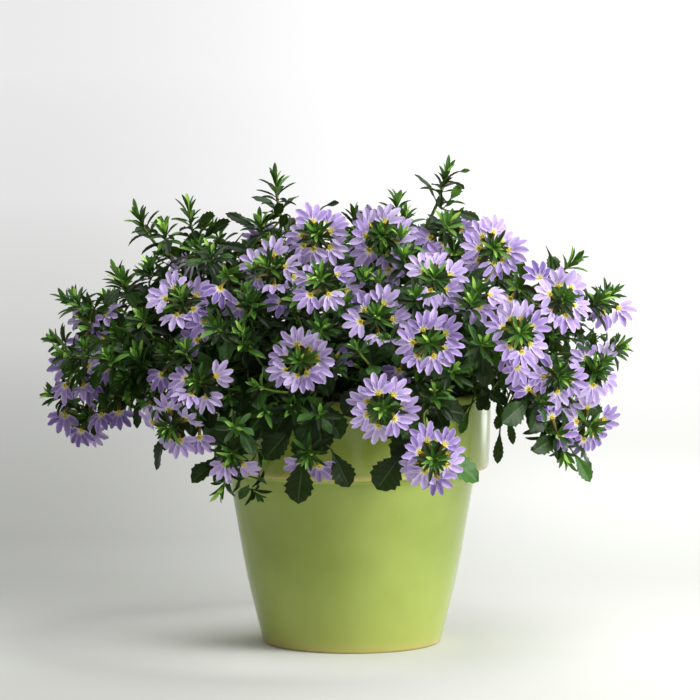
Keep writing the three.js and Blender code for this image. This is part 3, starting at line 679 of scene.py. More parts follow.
def add_tube(skin, line, radii, sides, tint, slot, start_way=None):
    """A round tube along a line of points, closed at its end."""
    line = np.asarray(line, float)
    ways = np.gradient(line, axis=0)
    turned_back = np.einsum("ij,ij->i", ways, np.vstack([ways[:1], ways[:-1]])) < 0
    ways[turned_back] *= -1
    ways /= np.linalg.norm(ways, axis=1)[:, None]
    start = square_to(ways[0], start_way if start_way is not None else around(ways[0], 0))
    rings = []
    for point, way, radius in zip(line, ways, radii):
        start = square_to(way, start)
        other = cross(way, start)
        angles = np.linspace(0, FULL_TURN, sides, endpoint=False)
        rings.append(point + radius * (np.multiply.outer(np.cos(angles), start)
                                       + np.multiply.outer(np.sin(angles), other)))
    shares = np.linspace(0, 1, len(line))
    turns = np.linspace(0, 1, sides, endpoint=False)
    places = np.stack(np.meshgrid(turns, shares), axis=-1)
    tints = np.broadcast_to(np.reshape(tint, (-1, 1)), (len(line), sides))
    skin.grid(np.array(rings), places, tints, slot, closed=True)
    skin.fan(rings[-1], line[-1], (0.5, 1), float(tints[-1, 0]), slot)


# Flowers
# The lobes: where they point, their lengths and widths, how they lift, droop, cup and dip, and their waves
LOBE_ANGLES = (-66, -33, 0, 33, 66)
LOBE = SimpleNamespace(
    length=14.2, side_length=12.6, half_width=2.5, start=0.9, lift=0.1, droop=0.2, cup=0.3, dip=0.16,
    ripple=0.24, edge_waves=4.3, side_waves=3.1)
LOBE_ROWS = np.array([0, 0.13, 0.27, 0.41, 0.55, 0.69, 0.82, 0.93, 1])
LOBE_WIDTHS = np.array([0.34, 0.62, 0.86, 0.96, 1.0, 0.97, 0.84, 0.55, 0.08])
FINE_REACH = 10.6
FINE_TIER = 3
# The tube from the head's axis to the throat: where its foot lies, how it arches, and its mouth, which opens
# and closes again around the yellow inside
TUBE = SimpleNamespace(
    radii=(0.8, 1.0, 1.1, 1.15, 1.2, 1.3, 1.45, 1.1, 0.6), sides=8, out=1.6, up=0.5, arch=0.9, knee=0.55,
    mouth=0.35, lean=0.6, opening=(0.6, 0.75, 0.2))
# How much flowers differ from each other, and their lobes
JITTER = SimpleNamespace(
    reach=(-1.6, 2.2), tier=3.4, turn=20, nod=52, roll=52, width=0.13, size=0.13, shade=0.45, length=0.1,
    swing=10, lift=0.16, droop=0.22, twist=0.5, tint=0.3)
LEAST_SIZE = 0.93
# How much of its paleness a flower loses with age
AGEING = 0.75


def loosen(fan, draws):
    """Moves and turns a flower a little, because no two grow alike."""
    turn = JITTER.turn * (next(draws) - 0.5)
    for name in ("outward", "forward", "side", "up"):
        setattr(fan, name, turned(getattr(fan, name), fan.axis, turn))
    reach = FINE_REACH + mix(*JITTER.reach, next(draws))
    rise = THROAT_RISE + fan.tier * FINE_TIER + JITTER.tier * (next(draws) - 0.5)
    fan.throat = fan.middle + fan.outward * reach + fan.axis * rise
    fan.forward = turned(fan.forward, fan.side, JITTER.nod * (next(draws) - 0.5))
    fan.side = turned(fan.side, fan.forward, JITTER.roll * (next(draws) - 0.5))
    fan.up = cross(fan.forward, fan.side)


def add_fan(skin, fan, draws, petal, tube, age):
    """A flower: five lobes in a fan around the throat, and the tube that carries them."""
    size = LEAST_SIZE + JITTER.size * next(draws)
    withered = age > 1
    shrivel = WITHERED.width if withered else 1
    # For the single flowers among the leaves, part of this darkening by age is painted shade.
    shade = 1 - AGEING * age + JITTER.shade * (next(draws) - 0.6)
    columns = WIDE_COLUMNS[None, :]
    rows = LOBE_ROWS[:, None]
    for angle in LOBE_ANGLES:
        length = LOBE.length if abs(angle) < 60 else LOBE.side_length
        length = length * size * (0.95 + JITTER.length * next(draws))
        turn = angle + JITTER.swing * (next(draws) - 0.5)
        way = fan.forward * cos(turn) + fan.side * sin(turn)
        side = cross(fan.up, way)
        lift = LOBE.lift + JITTER.lift * (next(draws) - 0.5)
        droop = (LOBE.droop + JITTER.droop * (next(draws) - 0.3)) * (WITHERED.droop if withered else 1)
        twist = JITTER.twist * (next(draws) - 0.5)
        width = LOBE_WIDTHS[:, None] * LOBE.half_width * size * shrivel
        wave = np.sin(FULL_TURN * (LOBE.edge_waves * rows + next(draws) + 0.3 * np.sign(columns)))
        across = columns * width * (1 + JITTER.width * wave * columns**2)
        cup = LOBE.cup * np.abs(columns) ** 1.6 * width - LOBE.dip * width * (1 - np.abs(columns)) ** 2
        wave = np.sin(FULL_TURN * (LOBE.side_waves * rows + next(draws) + 0.4 * columns))
        ripple = LOBE.ripple * wave * columns**2
        height = length * (lift * rows - droop * rows**2) + cup + ripple + twist * across * rows
        reach = LOBE.start + (length - LOBE.start) * rows
        points = fan.throat + reach[..., None] * way + across[..., None] * side + height[..., None] * fan.up
        tint = shade - JITTER.tint * next(draws)
        skin.grid(points, places_of_grid(columns, rows), WITHERED.tint if withered else tint, petal)
    foot = fan.middle + fan.outward * TUBE.out + fan.axis * TUBE.up
    mouth = fan.throat + fan.up * TUBE.mouth
    arch = mix(foot, mouth, TUBE.knee) + fan.axis * TUBE.arch
    shares = np.linspace(0, 1, 6)[:, None]
    line = foot * (1 - shares) ** 2 + arch * 2 * shares * (1 - shares) + mouth * shares**2
    opening = unit(fan.up + fan.forward * TUBE.lean)
    line = np.vstack([line, *(mouth + opening * step for step in TUBE.opening)])
    add_tube(skin, line, TUBE.radii, TUBE.sides, 0.5, tube, start_way=fan.up)


HEAD_TUFT = SimpleNamespace(
    bracts=28, lean=(86, 10), height=(-7, 3), length=(16, 10.5), width=(1.7, 1.0), tint=(0.0, 0.6))
TIP_TUFT = SimpleNamespace(
    bracts=16, lean=(76, 12), height=(-10, 5), length=(16, 12.5), width=(2.3, 1.7), tint=(0.0, 0.5))
SIDE_TUFT = SimpleNamespace(
    bracts=12, lean=(78, 12), height=(-6, 2), length=(14, 8), width=(2.0, 1.2), tint=(0.0, 0.55))
FRONT_TUFT = SimpleNamespace(
    bracts=20, lean=(88, 12), height=(-8, 3), length=(17, 10), width=(2.3, 1.4), tint=(0.0, 0.6))


# Room for the leaves that the solids leave out
class Room:
    """Points that are taken, by cells, for keeping new leaves clear of them."""

    def __init__(self, cell):
        self.cell = cell
        self.cells = {}

    def take(self, points):
        for point in points:
            key = tuple((point // self.cell).astype(int))
            self.cells.setdefault(key, []).append(point)

    def is_free(self, points, gap):
        """Whether no taken point lies within a gap, which is no wider than a cell."""
        for point in points:
            i, j, k = (point // self.cell).astype(int)
            for di, dj, dk in product((-1, 0, 1), repeat=3):
                for other in self.cells.get((i + di, j + dj, k + dk), ()):
                    if np.sum((point - other) ** 2) < gap * gap:
                        return False
        return True


POT_GAP = 3


def in_pot(points):
    """Whether any point lies in the pot or its soil, or too near to them."""
    reach = np.hypot(points[:, 0], points[:, 1])
    inside = (reach < WALL_INSIDE) & (points[:, 2] < SOIL_CROWN + POT_GAP)
    wall = (reach >= WALL_INSIDE) & (reach < RIM_RADIUS + POT_GAP) & (points[:, 2] < POT_HEIGHT + POT_GAP)
    return bool(np.any(inside | wall))


def in_dome(point):
    """Whether a point lies in the rounded mound that the dense foliage fills."""
    reach = math.hypot((point[0] - DOME.middle) / DOME.half_width, point[1] / DOME.half_depth)
    rise = max(point[2] - DOME.foot, 0) / DOME.rise
    return reach**DOME.power + rise**DOME.power < 1


def leaf_samples(leaf):
    """A few points of a leaf blade that stand for all of it."""
    along = np.array([0.35, 0.6, 0.6, 0.6, 0.85, 0.85, 1])
    across = np.array([0, -0.8, 0, 0.8, -0.6, 0.6, 0]) * leaf.half_width
    return leaf_point(leaf, along, across, 0)


def tuft_samples(end, axis):
    """Two points on the axis of a side shoot's tuft."""
    return np.array([end + axis * 6, end + axis * 11])


LOBE_SAMPLES = (7, 14)


def fan_samples(fan):
    """The throat of a flower, and the middle and end of each lobe."""
    points = [fan.throat]
    for angle in LOBE_ANGLES:
        way = fan.forward * cos(angle) + fan.side * sin(angle)
        points += [fan.throat + way * reach for reach in LOBE_SAMPLES]
    return np.array(points)


# A single flower turns with its x, a degree for so many millimetres, and looks up a little
SINGLE = SimpleNamespace(turn=8, lift=14, tilt=12)


def loose_fan(x, y, z, swing):
    axis = facing(x / SINGLE.turn, SINGLE.lift)
    outward = around(axis, -swing)
    throat = np.array([x, y, z], float)
    middle = throat - outward * FINE_REACH - axis * THROAT_RISE
    return opened_fan(middle, axis, outward, throat, SINGLE.tilt, 0)


# The places along a shoot that may carry a stalk or a side shoot
CARRYING = np.linspace(0.05, 0.95, 40)


def nearest_stem(shoots, point, shortest):
    """The place on the stems that lies nearest to a point, but no nearer than a given distance."""
    best = None
    for shoot in shoots:
        gaps = np.linalg.norm(shoot.route.at(CARRYING) - point, axis=1)
        for share, gap in zip(CARRYING, gaps):
            if gap > shortest and (best is None or gap < best[0]):
                best = (gap, shoot, share)
    return best[1:]


# A placed side shoot: its least length, and how long it keeps the stem's way and the end's
PLACED = SimpleNamespace(shortest=14, start=0.35, end=0.3)


def add_side_shoot(shoots, end, axis, draws, fan, form):
    """A short shoot from the nearest stem to a given end."""
    shoot, share = nearest_stem(shoots, end, PLACED.shortest)
    start, way = shoot.route.at(share)[0], shoot.route.way(share)
    reach = math.dist(start, end)
    route = Route(start, start + way * reach * PLACED.start, end - axis * reach * PLACED.end, end)
    side = SimpleNamespace(route=route, axis=axis, end=end, turn=360 * next(draws), fan=fan, form=form)
    shoot.side_shoots.append(side)


def grow_placed_shoots(shoots, room, draws):
    """Grows the side shoots that the lists give: those with a loose flower, and those with a bare tuft."""
    for row in LOOSE:
        fan = loose_fan(*row)
        add_side_shoot(shoots, fan.middle, fan.axis, draws, fan, SIDE_TUFT)
        room.take(fan_samples(fan))
        room.take(tuft_samples(fan.middle, fan.axis))
    for x, y, z, heading, lift in TUFTS:
        end, axis = np.array([x, y, z], float), facing(heading, lift)
        add_side_shoot(shoots, end, axis, draws, None, FRONT_TUFT)
        room.take(tuft_samples(end, axis))


# Small leaves along a stem: how far apart, from where to where, how long near the tip and how that grows,
# their tint near the tip and away from it, their width and bend, and how they make way for each other
EXTRA = SimpleNamespace(
    size=34, spacing=7, first=11, foot=4, tries=8, gap=2.6, shortest=13, growth=0.42, young=0.5, old=0.08,
    ageing=50, rise=38, face=0.6, width=0.24, bend=34, toothed_from=22, turn=43, shrink=0.06)
# The same along the side shoots that the lists place, and along those that grow where they have room
PLACED_LEAVES = SimpleNamespace(size=28, spacing=8, first=12)
GROWN_LEAVES = SimpleNamespace(size=28, spacing=8, first=9)
# The mound that the foliage fills, and the share of the small leaves beyond it that are kept
DOME = SimpleNamespace(middle=-12, half_width=198, half_depth=172, foot=170, rise=132, power=2.5, beyond=0.4)
# Side shoots along a stem: how far apart, from where to where, how long, how they lean, climb and bend, and
# how they make way for each other
SIDE_SHOOT = SimpleNamespace(
    spacing=20, first=26, foot=4, length=(28, 54), lean=50, tries=6, shrink=0.1, turn=67, climb=0.18,
    knee=0.55, start=0.6, end=0.35, gap=3.5)
# Lengths and steps along a stem vary from the first value up by as much as the second
LENGTHS = (0.85, 0.3)
STEPS = (0.8, 0.4)


def extra_leaf(route, share, turn, length, tint):
    way = route.way(share)
    return rising_leaf(
        route.at(share)[0], way, turn, EXTRA.rise, way * EXTRA.face + UP, length=length,
        half_width=length * EXTRA.width, bend=EXTRA.bend, toothed=length > EXTRA.toothed_from, tint=tint)


# How long a stalk keeps the way of its stem, and that of its leaf
STALK_ENDS = (0.3, 0.4)


def add_stalked(shoot, share, leaf, room):
    """Gives a shoot a leaf that stands off its stem, and the stalk that carries it."""
    start, stem_way = shoot.route.at(share)[0], shoot.route.way(share)
    reach = math.dist(start, leaf.base)
    first = start + stem_way * reach * STALK_ENDS[0]
    last = leaf.base - leaf.forward * reach * STALK_ENDS[1]
    stalk = Route(start, first, last, leaf.base)
    room.take(leaf_samples(leaf))
    shoot.extra.append(leaf)
    shoot.stalks.append(stalk)


def hang_leaf(shoots, row, room):
    """Adds a large leaf whose tip hangs where its row says."""
    x, y, z, length, half_width = row
    tip = np.array([x, y, z], float)
    chord = length / bow(LARGE_BEND)
    shoot, share = nearest_stem(shoots, tip, chord + SHORTEST_STALK)
    start = shoot.route.at(share)[0]
    base = tip + unit(mix(unit(start - tip), UP, HANGING)) * chord
    leaf = arched_leaf(base, tip, outward_face(x, y), length, half_width, large_tint_painted_light(x))
    add_stalked(shoot, share, leaf, room)


def stand_leaf(shoots, row, room):
    """Adds a broad leaf whose foot and tip lie where its row says, in front of the other leaves there."""
    foot_x, foot_z, tip_x, tip_z, y, half_width, tint = row
    base = np.array([foot_x, y, foot_z], float)
    tip = np.array([tip_x, y - STANDING_LEAN, tip_z], float)
    shoot, share = nearest_stem(shoots, base, SHORTEST_STALK)
    length = math.dist(base, tip) * bow(LARGE_BEND)
    add_stalked(shoot, share, arched_leaf(base, tip, FRONT * 0.8 + UP * 0.6, length, half_width, tint), room)


def grow_leaves(shoot, route, room, draws, form):
    """Adds small leaves in a spiral along a stem where they have room."""
    distance = form.first
    turn = 360 * next(draws)
    while distance < route.length - EXTRA.foot:
        share = 1 - distance / route.length
        length = min(form.size, EXTRA.shortest + EXTRA.growth * distance)
        length *= LENGTHS[0] + LENGTHS[1] * next(draws)
        tint = mix(EXTRA.young, EXTRA.old, min(distance / EXTRA.ageing, 1))
        keep = next(draws) < DOME.beyond or in_dome(route.at(share)[0])
        for attempt in range(EXTRA.tries if keep else 0):
            shorter = length * (1 - EXTRA.shrink * attempt)
            leaf = extra_leaf(route, share, turn + EXTRA.turn * attempt, shorter, tint)
            samples = leaf_samples(leaf)
            if not in_pot(samples) and room.is_free(samples, EXTRA.gap):
                room.take(samples)
                shoot.extra.append(leaf)
                break
        turn += GOLDEN_TURN
        distance += form.spacing * (STEPS[0] + STEPS[1] * next(draws))


def grow_side_shoots(shoot, room, draws, box):
    """Adds short leafy shoots along a stem where they have room, within a box."""
    distance = SIDE_SHOOT.first
    turn = 360 * next(draws)
    while distance < shoot.length - SIDE_SHOOT.foot:
        share = 1 - distance / shoot.length
        start = shoot.route.at(share)[0]
        way = shoot.route.way(share)
        for attempt in range(SIDE_SHOOT.tries):
            length = mix(*SIDE_SHOOT.length, next(draws)) * (1 - SIDE_SHOOT.shrink * attempt)
            outward = around(way, turn + SIDE_SHOOT.turn * attempt)
            away = unit(outward * sin(SIDE_SHOOT.lean) + way * cos(SIDE_SHOOT.lean))
            end = start + away * length + UP * length * SIDE_SHOOT.climb
            middle = start + away * length * SIDE_SHOOT.knee
            route = Route(start, mix(start, middle, SIDE_SHOOT.start), mix(middle, end, SIDE_SHOOT.end), end)
            axis = route.way(1)
            tuft = tuft_samples(end, axis)
            samples = np.vstack([route.at(np.linspace(0.4, 1, 6)), tuft])
            inside = in_dome(tuft[0]) and np.all(samples > box[0]) and np.all(samples < box[1])
            if inside and not in_pot(samples) and room.is_free(samples, SIDE_SHOOT.gap):
                room.take(samples)
                side = SimpleNamespace(
                    route=route, axis=axis, end=end, turn=360 * next(draws), fan=None, form=SIDE_TUFT)
                shoot.side_shoots.append(side)
                grow_leaves(shoot, route, room, draws, GROWN_LEAVES)
                break
        turn += GOLDEN_TURN
        distance += SIDE_SHOOT.spacing * (STEPS[0] + STEPS[1] * next(draws))


# Materials
# The real sizes of the patterns, in millimetres
PATTERNS = SimpleNamespace(
    leaf_patch=11,  # blotches where a leaf is older or younger
    stem_streak=4,  # ridges and scars along a stem
    glaze_pool=60,  # where the glaze ran thicker or thinner
    glaze_speck=2.4,  # pinholes and specks, half a millimetre on a real pot, so drawn coarser
    glaze_swell=42,  # the slow swell that the throwing and the brush leave
    soil_grain=3,  # peat crumbs and fibres
)
VEIN_WAVES = 46  # the turn of the vein pattern along a leaf: a vein every 4 mm on a leaf of 30 mm
VEIN_SLANT = -0.16
TUBE_STRIPES = 4


def linear(code):
    """A colour written as an sRGB hex code, as linear light."""
    parts = [int(code[i:i + 2], 16) / 255 for i in (1, 3, 5)]
    return [*(c / 12.92 if c <= 0.04045 else ((c + 0.055) / 1.055) ** 2.4 for c in parts), 1]


def add(tree, kind, inputs=(), stops=None, out=None, **settings):
    """Adds a shader node and gives the output that is named, or else the first one in use.

    Inputs are named, or listed in the order of the sockets. A colour is given as its hex code, and a Mix
    mixes colours.
    """
    made = tree.nodes.new("ShaderNode" + kind)
    if kind == "Mix":
        made.data_type = "RGBA"
    for name, value in settings.items():
        setattr(made, name, value)
    for name, value in inputs.items() if isinstance(inputs, dict) else enumerate(inputs):
        if isinstance(value, bpy.types.NodeSocket):
            tree.links.new(value, made.inputs[name])
        else:
            made.inputs[name].default_value = linear(value) if isinstance(value, str) else value
    if stops:
        elements = made.color_ramp.elements
        while len(elements) < len(stops):
            elements.new(1)
        for element, (position, colour) in zip(elements, stops):
            element.position = position
            element.color = linear(colour)
    return made.outputs[out] if out else next((socket for socket in made.outputs if socket.enabled), None)


def material_of(name, surface_of):
    """A material of a given name, whose surface a function adds."""
    material = bpy.data.materials.new(name)
    material.use_nodes = True
    tree = material.node_tree
    tree.nodes.clear()
    add(tree, "OutputMaterial", {"Surface": surface_of(tree)})
    return material


def scale_of(size):
    """The noise scale that gives patches of about a size in millimetres."""
    return 1 / (size * MM)


def blade_place(tree):
    """The place on a blade: how far out from the midrib, and how far along."""
    across = add(tree, "SeparateXYZ", [add(tree, "UVMap", uv_map="blade")], out="X")
    return add(tree, "Math", [across], operation="ABSOLUTE"), across.node.outputs["Y"]


def leaf_surface(tree):
    """Leaf tissue under a thin wax skin: a calm sheen on dark green, bright where it is young, with a pale
    midrib and faint side veins. It is thin, so some light comes through it, yellow-green."""
    out, along = blade_place(tree)
    tint = add(tree, "Attribute", attribute_name="tint", out="Fac")
    patches = add(tree, "TexNoise", {
        "Vector": add(tree, "NewGeometry"), "Scale": scale_of(PATTERNS.leaf_patch), "Detail": 3})
    shift = add(tree, "Math", [patches, 0.3, -0.15], operation="MULTIPLY_ADD")
    shade = add(tree, "Math", [tint, shift], operation="ADD")
    body = add(tree, "ValToRGB", [shade], stops=[
        (0.0, "#0d1c07"), (0.25, "#1e3812"), (0.5, "#3a6425"), (0.75, "#74a743"), (1.0, "#b4dc68")])
    rib = add(tree, "MapRange", [out, 0, 0.07, 0.24, 0])
    slant = add(tree, "Math", [out, VEIN_SLANT, along], operation="MULTIPLY_ADD")
    waves = add(tree, "Math", [slant, VEIN_WAVES], operation="MULTIPLY")
    waves = add(tree, "Math", [waves], operation="SINE")
    veins = add(tree, "MapRange", [waves, 0.86, 1, 0, 0.05])
    lines = add(tree, "Math", [rib, veins], operation="MAXIMUM")
    pale = add(tree, "Mix", {"Factor": 0.55, "A": body, "B": "#a9c77e"})
    colour = add(tree, "Mix", {"Factor": lines, "A": body, "B": pale})
    relief = add(tree, "Math", [waves, -0.5, 0], operation="MULTIPLY_ADD")
    bump = add(tree, "Bump", {"Height": relief, "Strength": 0.2, "Distance": 0.0004})
    glow = add(tree, "Mix", {"Factor": 0.4, "A": colour, "B": "#8fbf3a"})
    surface = add(tree, "BsdfPrincipled", {
        "Base Color": colour, "Roughness": 0.38, "Normal": bump, "Specular IOR Level": 0.22})
    through = add(tree, "BsdfTranslucent", {"Color": glow})
    return add(tree, "MixShader", [0.13, surface, through])


def petal_surface(tree):
    """Petal tissue, thin, matt and a little downy: lavender lobes with violet midlines, pale wings and a
    yellow throat. A fifth of the light comes through."""
    out, along = blade_place(tree)
    tint = add(tree, "Attribute", attribute_name="tint", out="Fac")
    body = add(tree, "ValToRGB", [tint], stops=[
        (0.0, "#574180"), (0.3, "#886fb0"), (0.6, "#af95d1"), (1.0, "#d0bee6")])
    wings = add(tree, "MapRange", [out, 0.6, 1, 0, 0.6])
    winged = add(tree, "Mix", {"Factor": wings, "A": body, "B": "#e2d4f8"})
    middle = add(tree, "MapRange", [out, 0.03, 0.12, 0.6, 0])
    fade = add(tree, "MapRange", [along, 0.55, 1, 1, 0.1])
    line = add(tree, "Math", [middle, fade], operation="MULTIPLY")
    lined = add(tree, "Mix", {"Factor": line, "A": winged, "B": "#8d68c8"})
    pale = add(tree, "MapRange", [along, 0.1, 0.28, 0.8, 0])
    haloed = add(tree, "Mix", {"Factor": pale, "A": lined, "B": "#f4eedd"})
    near = add(tree, "MapRange", [along, 0.05, 0.13, 1, 0])
    fresh = add(tree, "Mix", {"Factor": near, "A": haloed, "B": "#e2d23e"})
    dry = add(tree, "MapRange", [tint, 1.2, 1.8])
    colour = add(tree, "Mix", {"Factor": dry, "A": fresh, "B": "#a99fb4"})
    surface = add(tree, "BsdfPrincipled", {
        "Base Color": colour, "Roughness": 0.62, "Specular IOR Level": 0.3, "Sheen Weight": 0.15})
    through = add(tree, "BsdfTranslucent", {"Color": colour})
    return add(tree, "MixShader", [0.22, surface, through])


def tube_surface(tree):
    """Flower tube tissue, matt: ochre with brown stripes, yellow at the mouth."""
    across = add(tree, "SeparateXYZ", [add(tree, "UVMap", uv_map="blade")], out="X")
    along = across.node.outputs["Y"]
    waves = add(tree, "Math", [across, FULL_TURN * TUBE_STRIPES], operation="MULTIPLY")
    waves = add(tree, "Math", [waves], operation="COSINE")
    stripes = add(tree, "MapRange", [waves, -0.2, 0.6])
    body = add(tree, "ValToRGB", [along], stops=[
        (0.0, "#4c4a1c"), (0.3, "#6f5a1e"), (0.6, "#94801f"), (0.8, "#e8da40"), (0.96, "#80681c")])
    fade = add(tree, "MapRange", [along, 0.5, 0.68, 0.9, 0])
    amount = add(tree, "Math", [stripes, fade], operation="MULTIPLY")
    colour = add(tree, "Mix", {"Factor": amount, "A": body, "B": "#3d210f"})
    return add(tree, "BsdfPrincipled", {"Base Color": colour, "Roughness": 0.55})


def stem_surface(tree):
    """Stem tissue: ridged, yellow-green and slightly glossy shoots, browner and woody towards the soil."""
    tint = add(tree, "Attribute", attribute_name="tint", out="Fac")
    streaks = add(tree, "TexNoise", {
        "Vector": add(tree, "NewGeometry"), "Scale": scale_of(PATTERNS.stem_streak), "Detail": 4})
    shift = add(tree, "Math", [streaks, 0.3, -0.15], operation="MULTIPLY_ADD")
    shade = add(tree, "Math", [tint, shift], operation="ADD")
    colour = add(tree, "ValToRGB", [shade], stops=[
        (0.0, "#43371f"), (0.35, "#4f5825"), (0.7, "#5f7628"), (1.0, "#8aa640")])
    bump = add(tree, "Bump", {"Height": streaks, "Strength": 0.3, "Distance": 0.0003})
    return add(tree, "BsdfPrincipled", {"Base Color": colour, "Roughness": 0.5, "Normal": bump})


def glaze_surface(tree):
    """Ceramic that was glazed and fired: a glassy lime-green skin with a clear gloss. It pools in places, is
    painted paler near the foot as light bounced up from the floor, and is thin and tan where it ran off an
    edge."""
    thin = add(tree, "Attribute", attribute_name="tint", out="Fac")
    position = add(tree, "NewGeometry")
    pools = add(tree, "TexNoise", {"Vector": position, "Scale": scale_of(PATTERNS.glaze_pool), "Detail": 3})
    specks = add(tree, "TexNoise", {
        "Vector": position, "Scale": scale_of(PATTERNS.glaze_speck), "Detail": 2})
    body = add(tree, "ValToRGB", [pools], stops=[(0.3, "#8d9f42"), (0.5, "#96a74b"), (0.7, "#9fb054")])
    height = add(tree, "SeparateXYZ", [position], out="Z")
    # Painted light: the glaze is mixed paler towards the foot, standing in for light that the floor bounces
    # up.
    low = add(tree, "MapRange", [height, 0, 0.06, 0.42, 0])
    body = add(tree, "Mix", {"Factor": low, "A": body, "B": "#c2c766"})
    spots = add(tree, "MapRange", [specks, 0.62, 0.78, 0, 0.25])
    spotted = add(tree, "Mix", {"Factor": spots, "A": body, "B": "#b3ae5c"})
    colour = add(tree, "Mix", {"Factor": thin, "A": spotted, "B": "#c4b56e"})
    swell = add(tree, "TexNoise", {"Vector": position, "Scale": scale_of(PATTERNS.glaze_swell), "Detail": 2})
    bump = add(tree, "Bump", {"Height": swell, "Strength": 0.12, "Distance": 0.004})
    return add(tree, "BsdfPrincipled", {
        "Base Color": colour, "Roughness": 0.16, "IOR": 1.44, "Normal": bump})


def soil_surface(tree):
    """Potting soil: dark, moist, crumbly peat with lighter fibres, which has no gloss."""
    grain = add(tree, "TexNoise", {
        "Vector": add(tree, "NewGeometry"), "Scale": scale_of(PATTERNS.soil_grain), "Detail": 6,
        "Roughness": 0.7})
    colour = add(tree, "ValToRGB", [grain], stops=[(0.35, "#17110c"), (0.55, "#2c2119"), (0.72, "#4a382a")])
    bump = add(tree, "Bump", {"Height": grain, "Strength": 0.8, "Distance": 0.0015})
    return add(tree, "BsdfPrincipled", {"Base Color": colour, "Roughness": 0.93, "Normal": bump})


def floor_surface_painted_light(tree):
    """A matt studio floor that runs back to the horizon, with light and shade painted into its colour: each
    side has its own painted tones from the front to the back, darker on the left, and the shaded side is
    painted paler near the pot."""
    position = add(tree, "NewGeometry")
    x = add(tree, "SeparateXYZ", [position], out="X")
    y = x.node.outputs["Y"]
    away = add(tree, "MapRange", [y, -1, 20])
    back = add(tree, "Math", [y, 2.4], operation="ADD")
    span = add(tree, "VectorMath", [add(tree, "CombineXYZ", [back, 1.8])], operation="LENGTH")
    bearing = add(tree, "Math", [x, span], operation="DIVIDE")
    across = add(tree, "MapRange", [bearing, -0.085, 0.075], interpolation_type="SMOOTHSTEP")
    # Painted light and shade: these ramps give the floor's tone from the front to the back on each side,
    # falling off as the light does, darker on the left and with painted shadow bands near and behind the
    # pot.
    left = add(tree, "ValToRGB", [away], stops=[
        (0.037, "#a7a8a3"), (0.042, "#b6b7b2"), (0.046, "#bebfba"), (0.05, "#babbb6"), (0.053, "#aeafaa"),
        (0.057, "#9fa09b"), (0.062, "#949590"), (0.074, "#8b8c88"), (0.09, "#92938f"), (0.131, "#a6a7a4"),
        (0.164, "#b7b7b5"), (0.203, "#bebebd"), (0.343, "#cdcdcd"), (1.0, "#d4d4d4")])
    right = add(tree, "ValToRGB", [away], stops=[
        (0.036, "#b7b8b3"), (0.04, "#c0c1bc"), (0.046, "#cdcec9"), (0.057, "#bfc0bb"), (0.062, "#bdbeb9"),
        (0.068, "#c1c2bd"), (0.09, "#d5d6d2"), (0.15, "#e8e9e6"), (0.343, "#fcfcfc")])
    painted_light_and_shadow = add(tree, "Mix", {"Factor": across, "A": left, "B": right})
    # Painted light: near the pot, on the left where the key light's shadow falls, the floor is mixed towards
    # near white to pale that shadow.
    level = add(tree, "VectorMath", [position, (1, 1.25, 0)], operation="MULTIPLY")
    reach = add(tree, "VectorMath", [level], operation="LENGTH")
    near = add(tree, "MapRange", [reach, 0.1, 0.25, 1, 0], interpolation_type="SMOOTHSTEP")
    shaded = add(tree, "Math", [across, -2.0, 1.6], operation="MULTIPLY_ADD", use_clamp=True)
    amount = add(tree, "Math", [near, shaded], operation="MULTIPLY")
    colour = add(tree, "Mix", {"Factor": amount, "A": painted_light_and_shadow, "B": "#fafaf6"})
    return add(tree, "BsdfPrincipled", {"Base Color": colour, "Roughness": 0.75})


# Pieces
def lathe_piece(name, profile, thin, sides, material):
    """A turned piece, from its profile and how thin the glaze is along it."""
    skin = Skin()
    profile = np.array(profile, float)
    angles = np.linspace(0, FULL_TURN, sides, endpoint=False)
    rings = np.stack([
        np.multiply.outer(profile[:, 0], np.sin(angles)),
        np.multiply.outer(profile[:, 0], -np.cos(angles)),
        np.repeat(profile[:, 1:], sides, axis=1),
    ], axis=-1)
    places = np.stack(np.meshgrid(angles / FULL_TURN, profile[:, 1] / POT_HEIGHT), axis=-1)
    skin.grid(rings[:, ::-1], places, np.reshape(thin, (-1, 1)), 0, closed=True)
    return skin.make(name, [material])


def arc(middle, radius, start, end, count):
    """Points on an arc in the plane of a lathe's profile."""
    angles = np.radians(np.linspace(start, end, count))
    return [(middle[0] + radius * math.cos(a), middle[1] + radius * math.sin(a)) for a in angles]


def make_pot():
    """The pot as one turned wall: from the middle of its underside over the lip to the middle of its floor,
    as radii and heights."""
    profile = [
        (0.01, 0), (40, 0), (60.5, 0),
        *arc((62.2, 2.4), 2.4, -90, -10, 6),
        (66.2, 9), (68.8, 19), (71.6, 31), (75.3, 47), (78.6, 64), (82, 84), (85.4, 104), (88.2, 120),
        *arc((90.8, 122.6), 2.6, 190, 100, 6),
        (94.5, 126.2),
        *arc((96.4, 128.3), 1.9, -90, 0, 7),
        (98.4, 131), (98.9, 142), (99.4, 160), (99.8, 176),
        *arc((96.8, 179), 3.0, 0, 90, 8),
        *arc((94.8, 179.2), 2.8, 90, 180, 8),
        (91.3, 172), (88.5, 160), (60.5, 11), (50, 10), (0.01, 10),
    ]
    thin = [edge_share(r, z) for r, z in profile]
    return lathe_piece("glazed_pot", profile, thin, 160, MATERIALS.glaze)


# How far from each edge the glaze is thin, and how thin it gets on the lip
THIN = SimpleNamespace(foot=5, collar=3.2, lip=1.6, lip_share=0.45)


def edge_share(r, z):
    """How thin the glaze is: it breaks over the foot's edge, the collar's lower edge and the lip."""
    foot = max(0, 1 - z / THIN.foot)
    collar = max(0, 1 - abs(z - COLLAR.edge) / THIN.collar) if r > COLLAR.inside else 0
    lip = THIN.lip_share * max(0, 1 - abs(z - POT_HEIGHT) / THIN.lip)
    return max(foot, collar, lip)


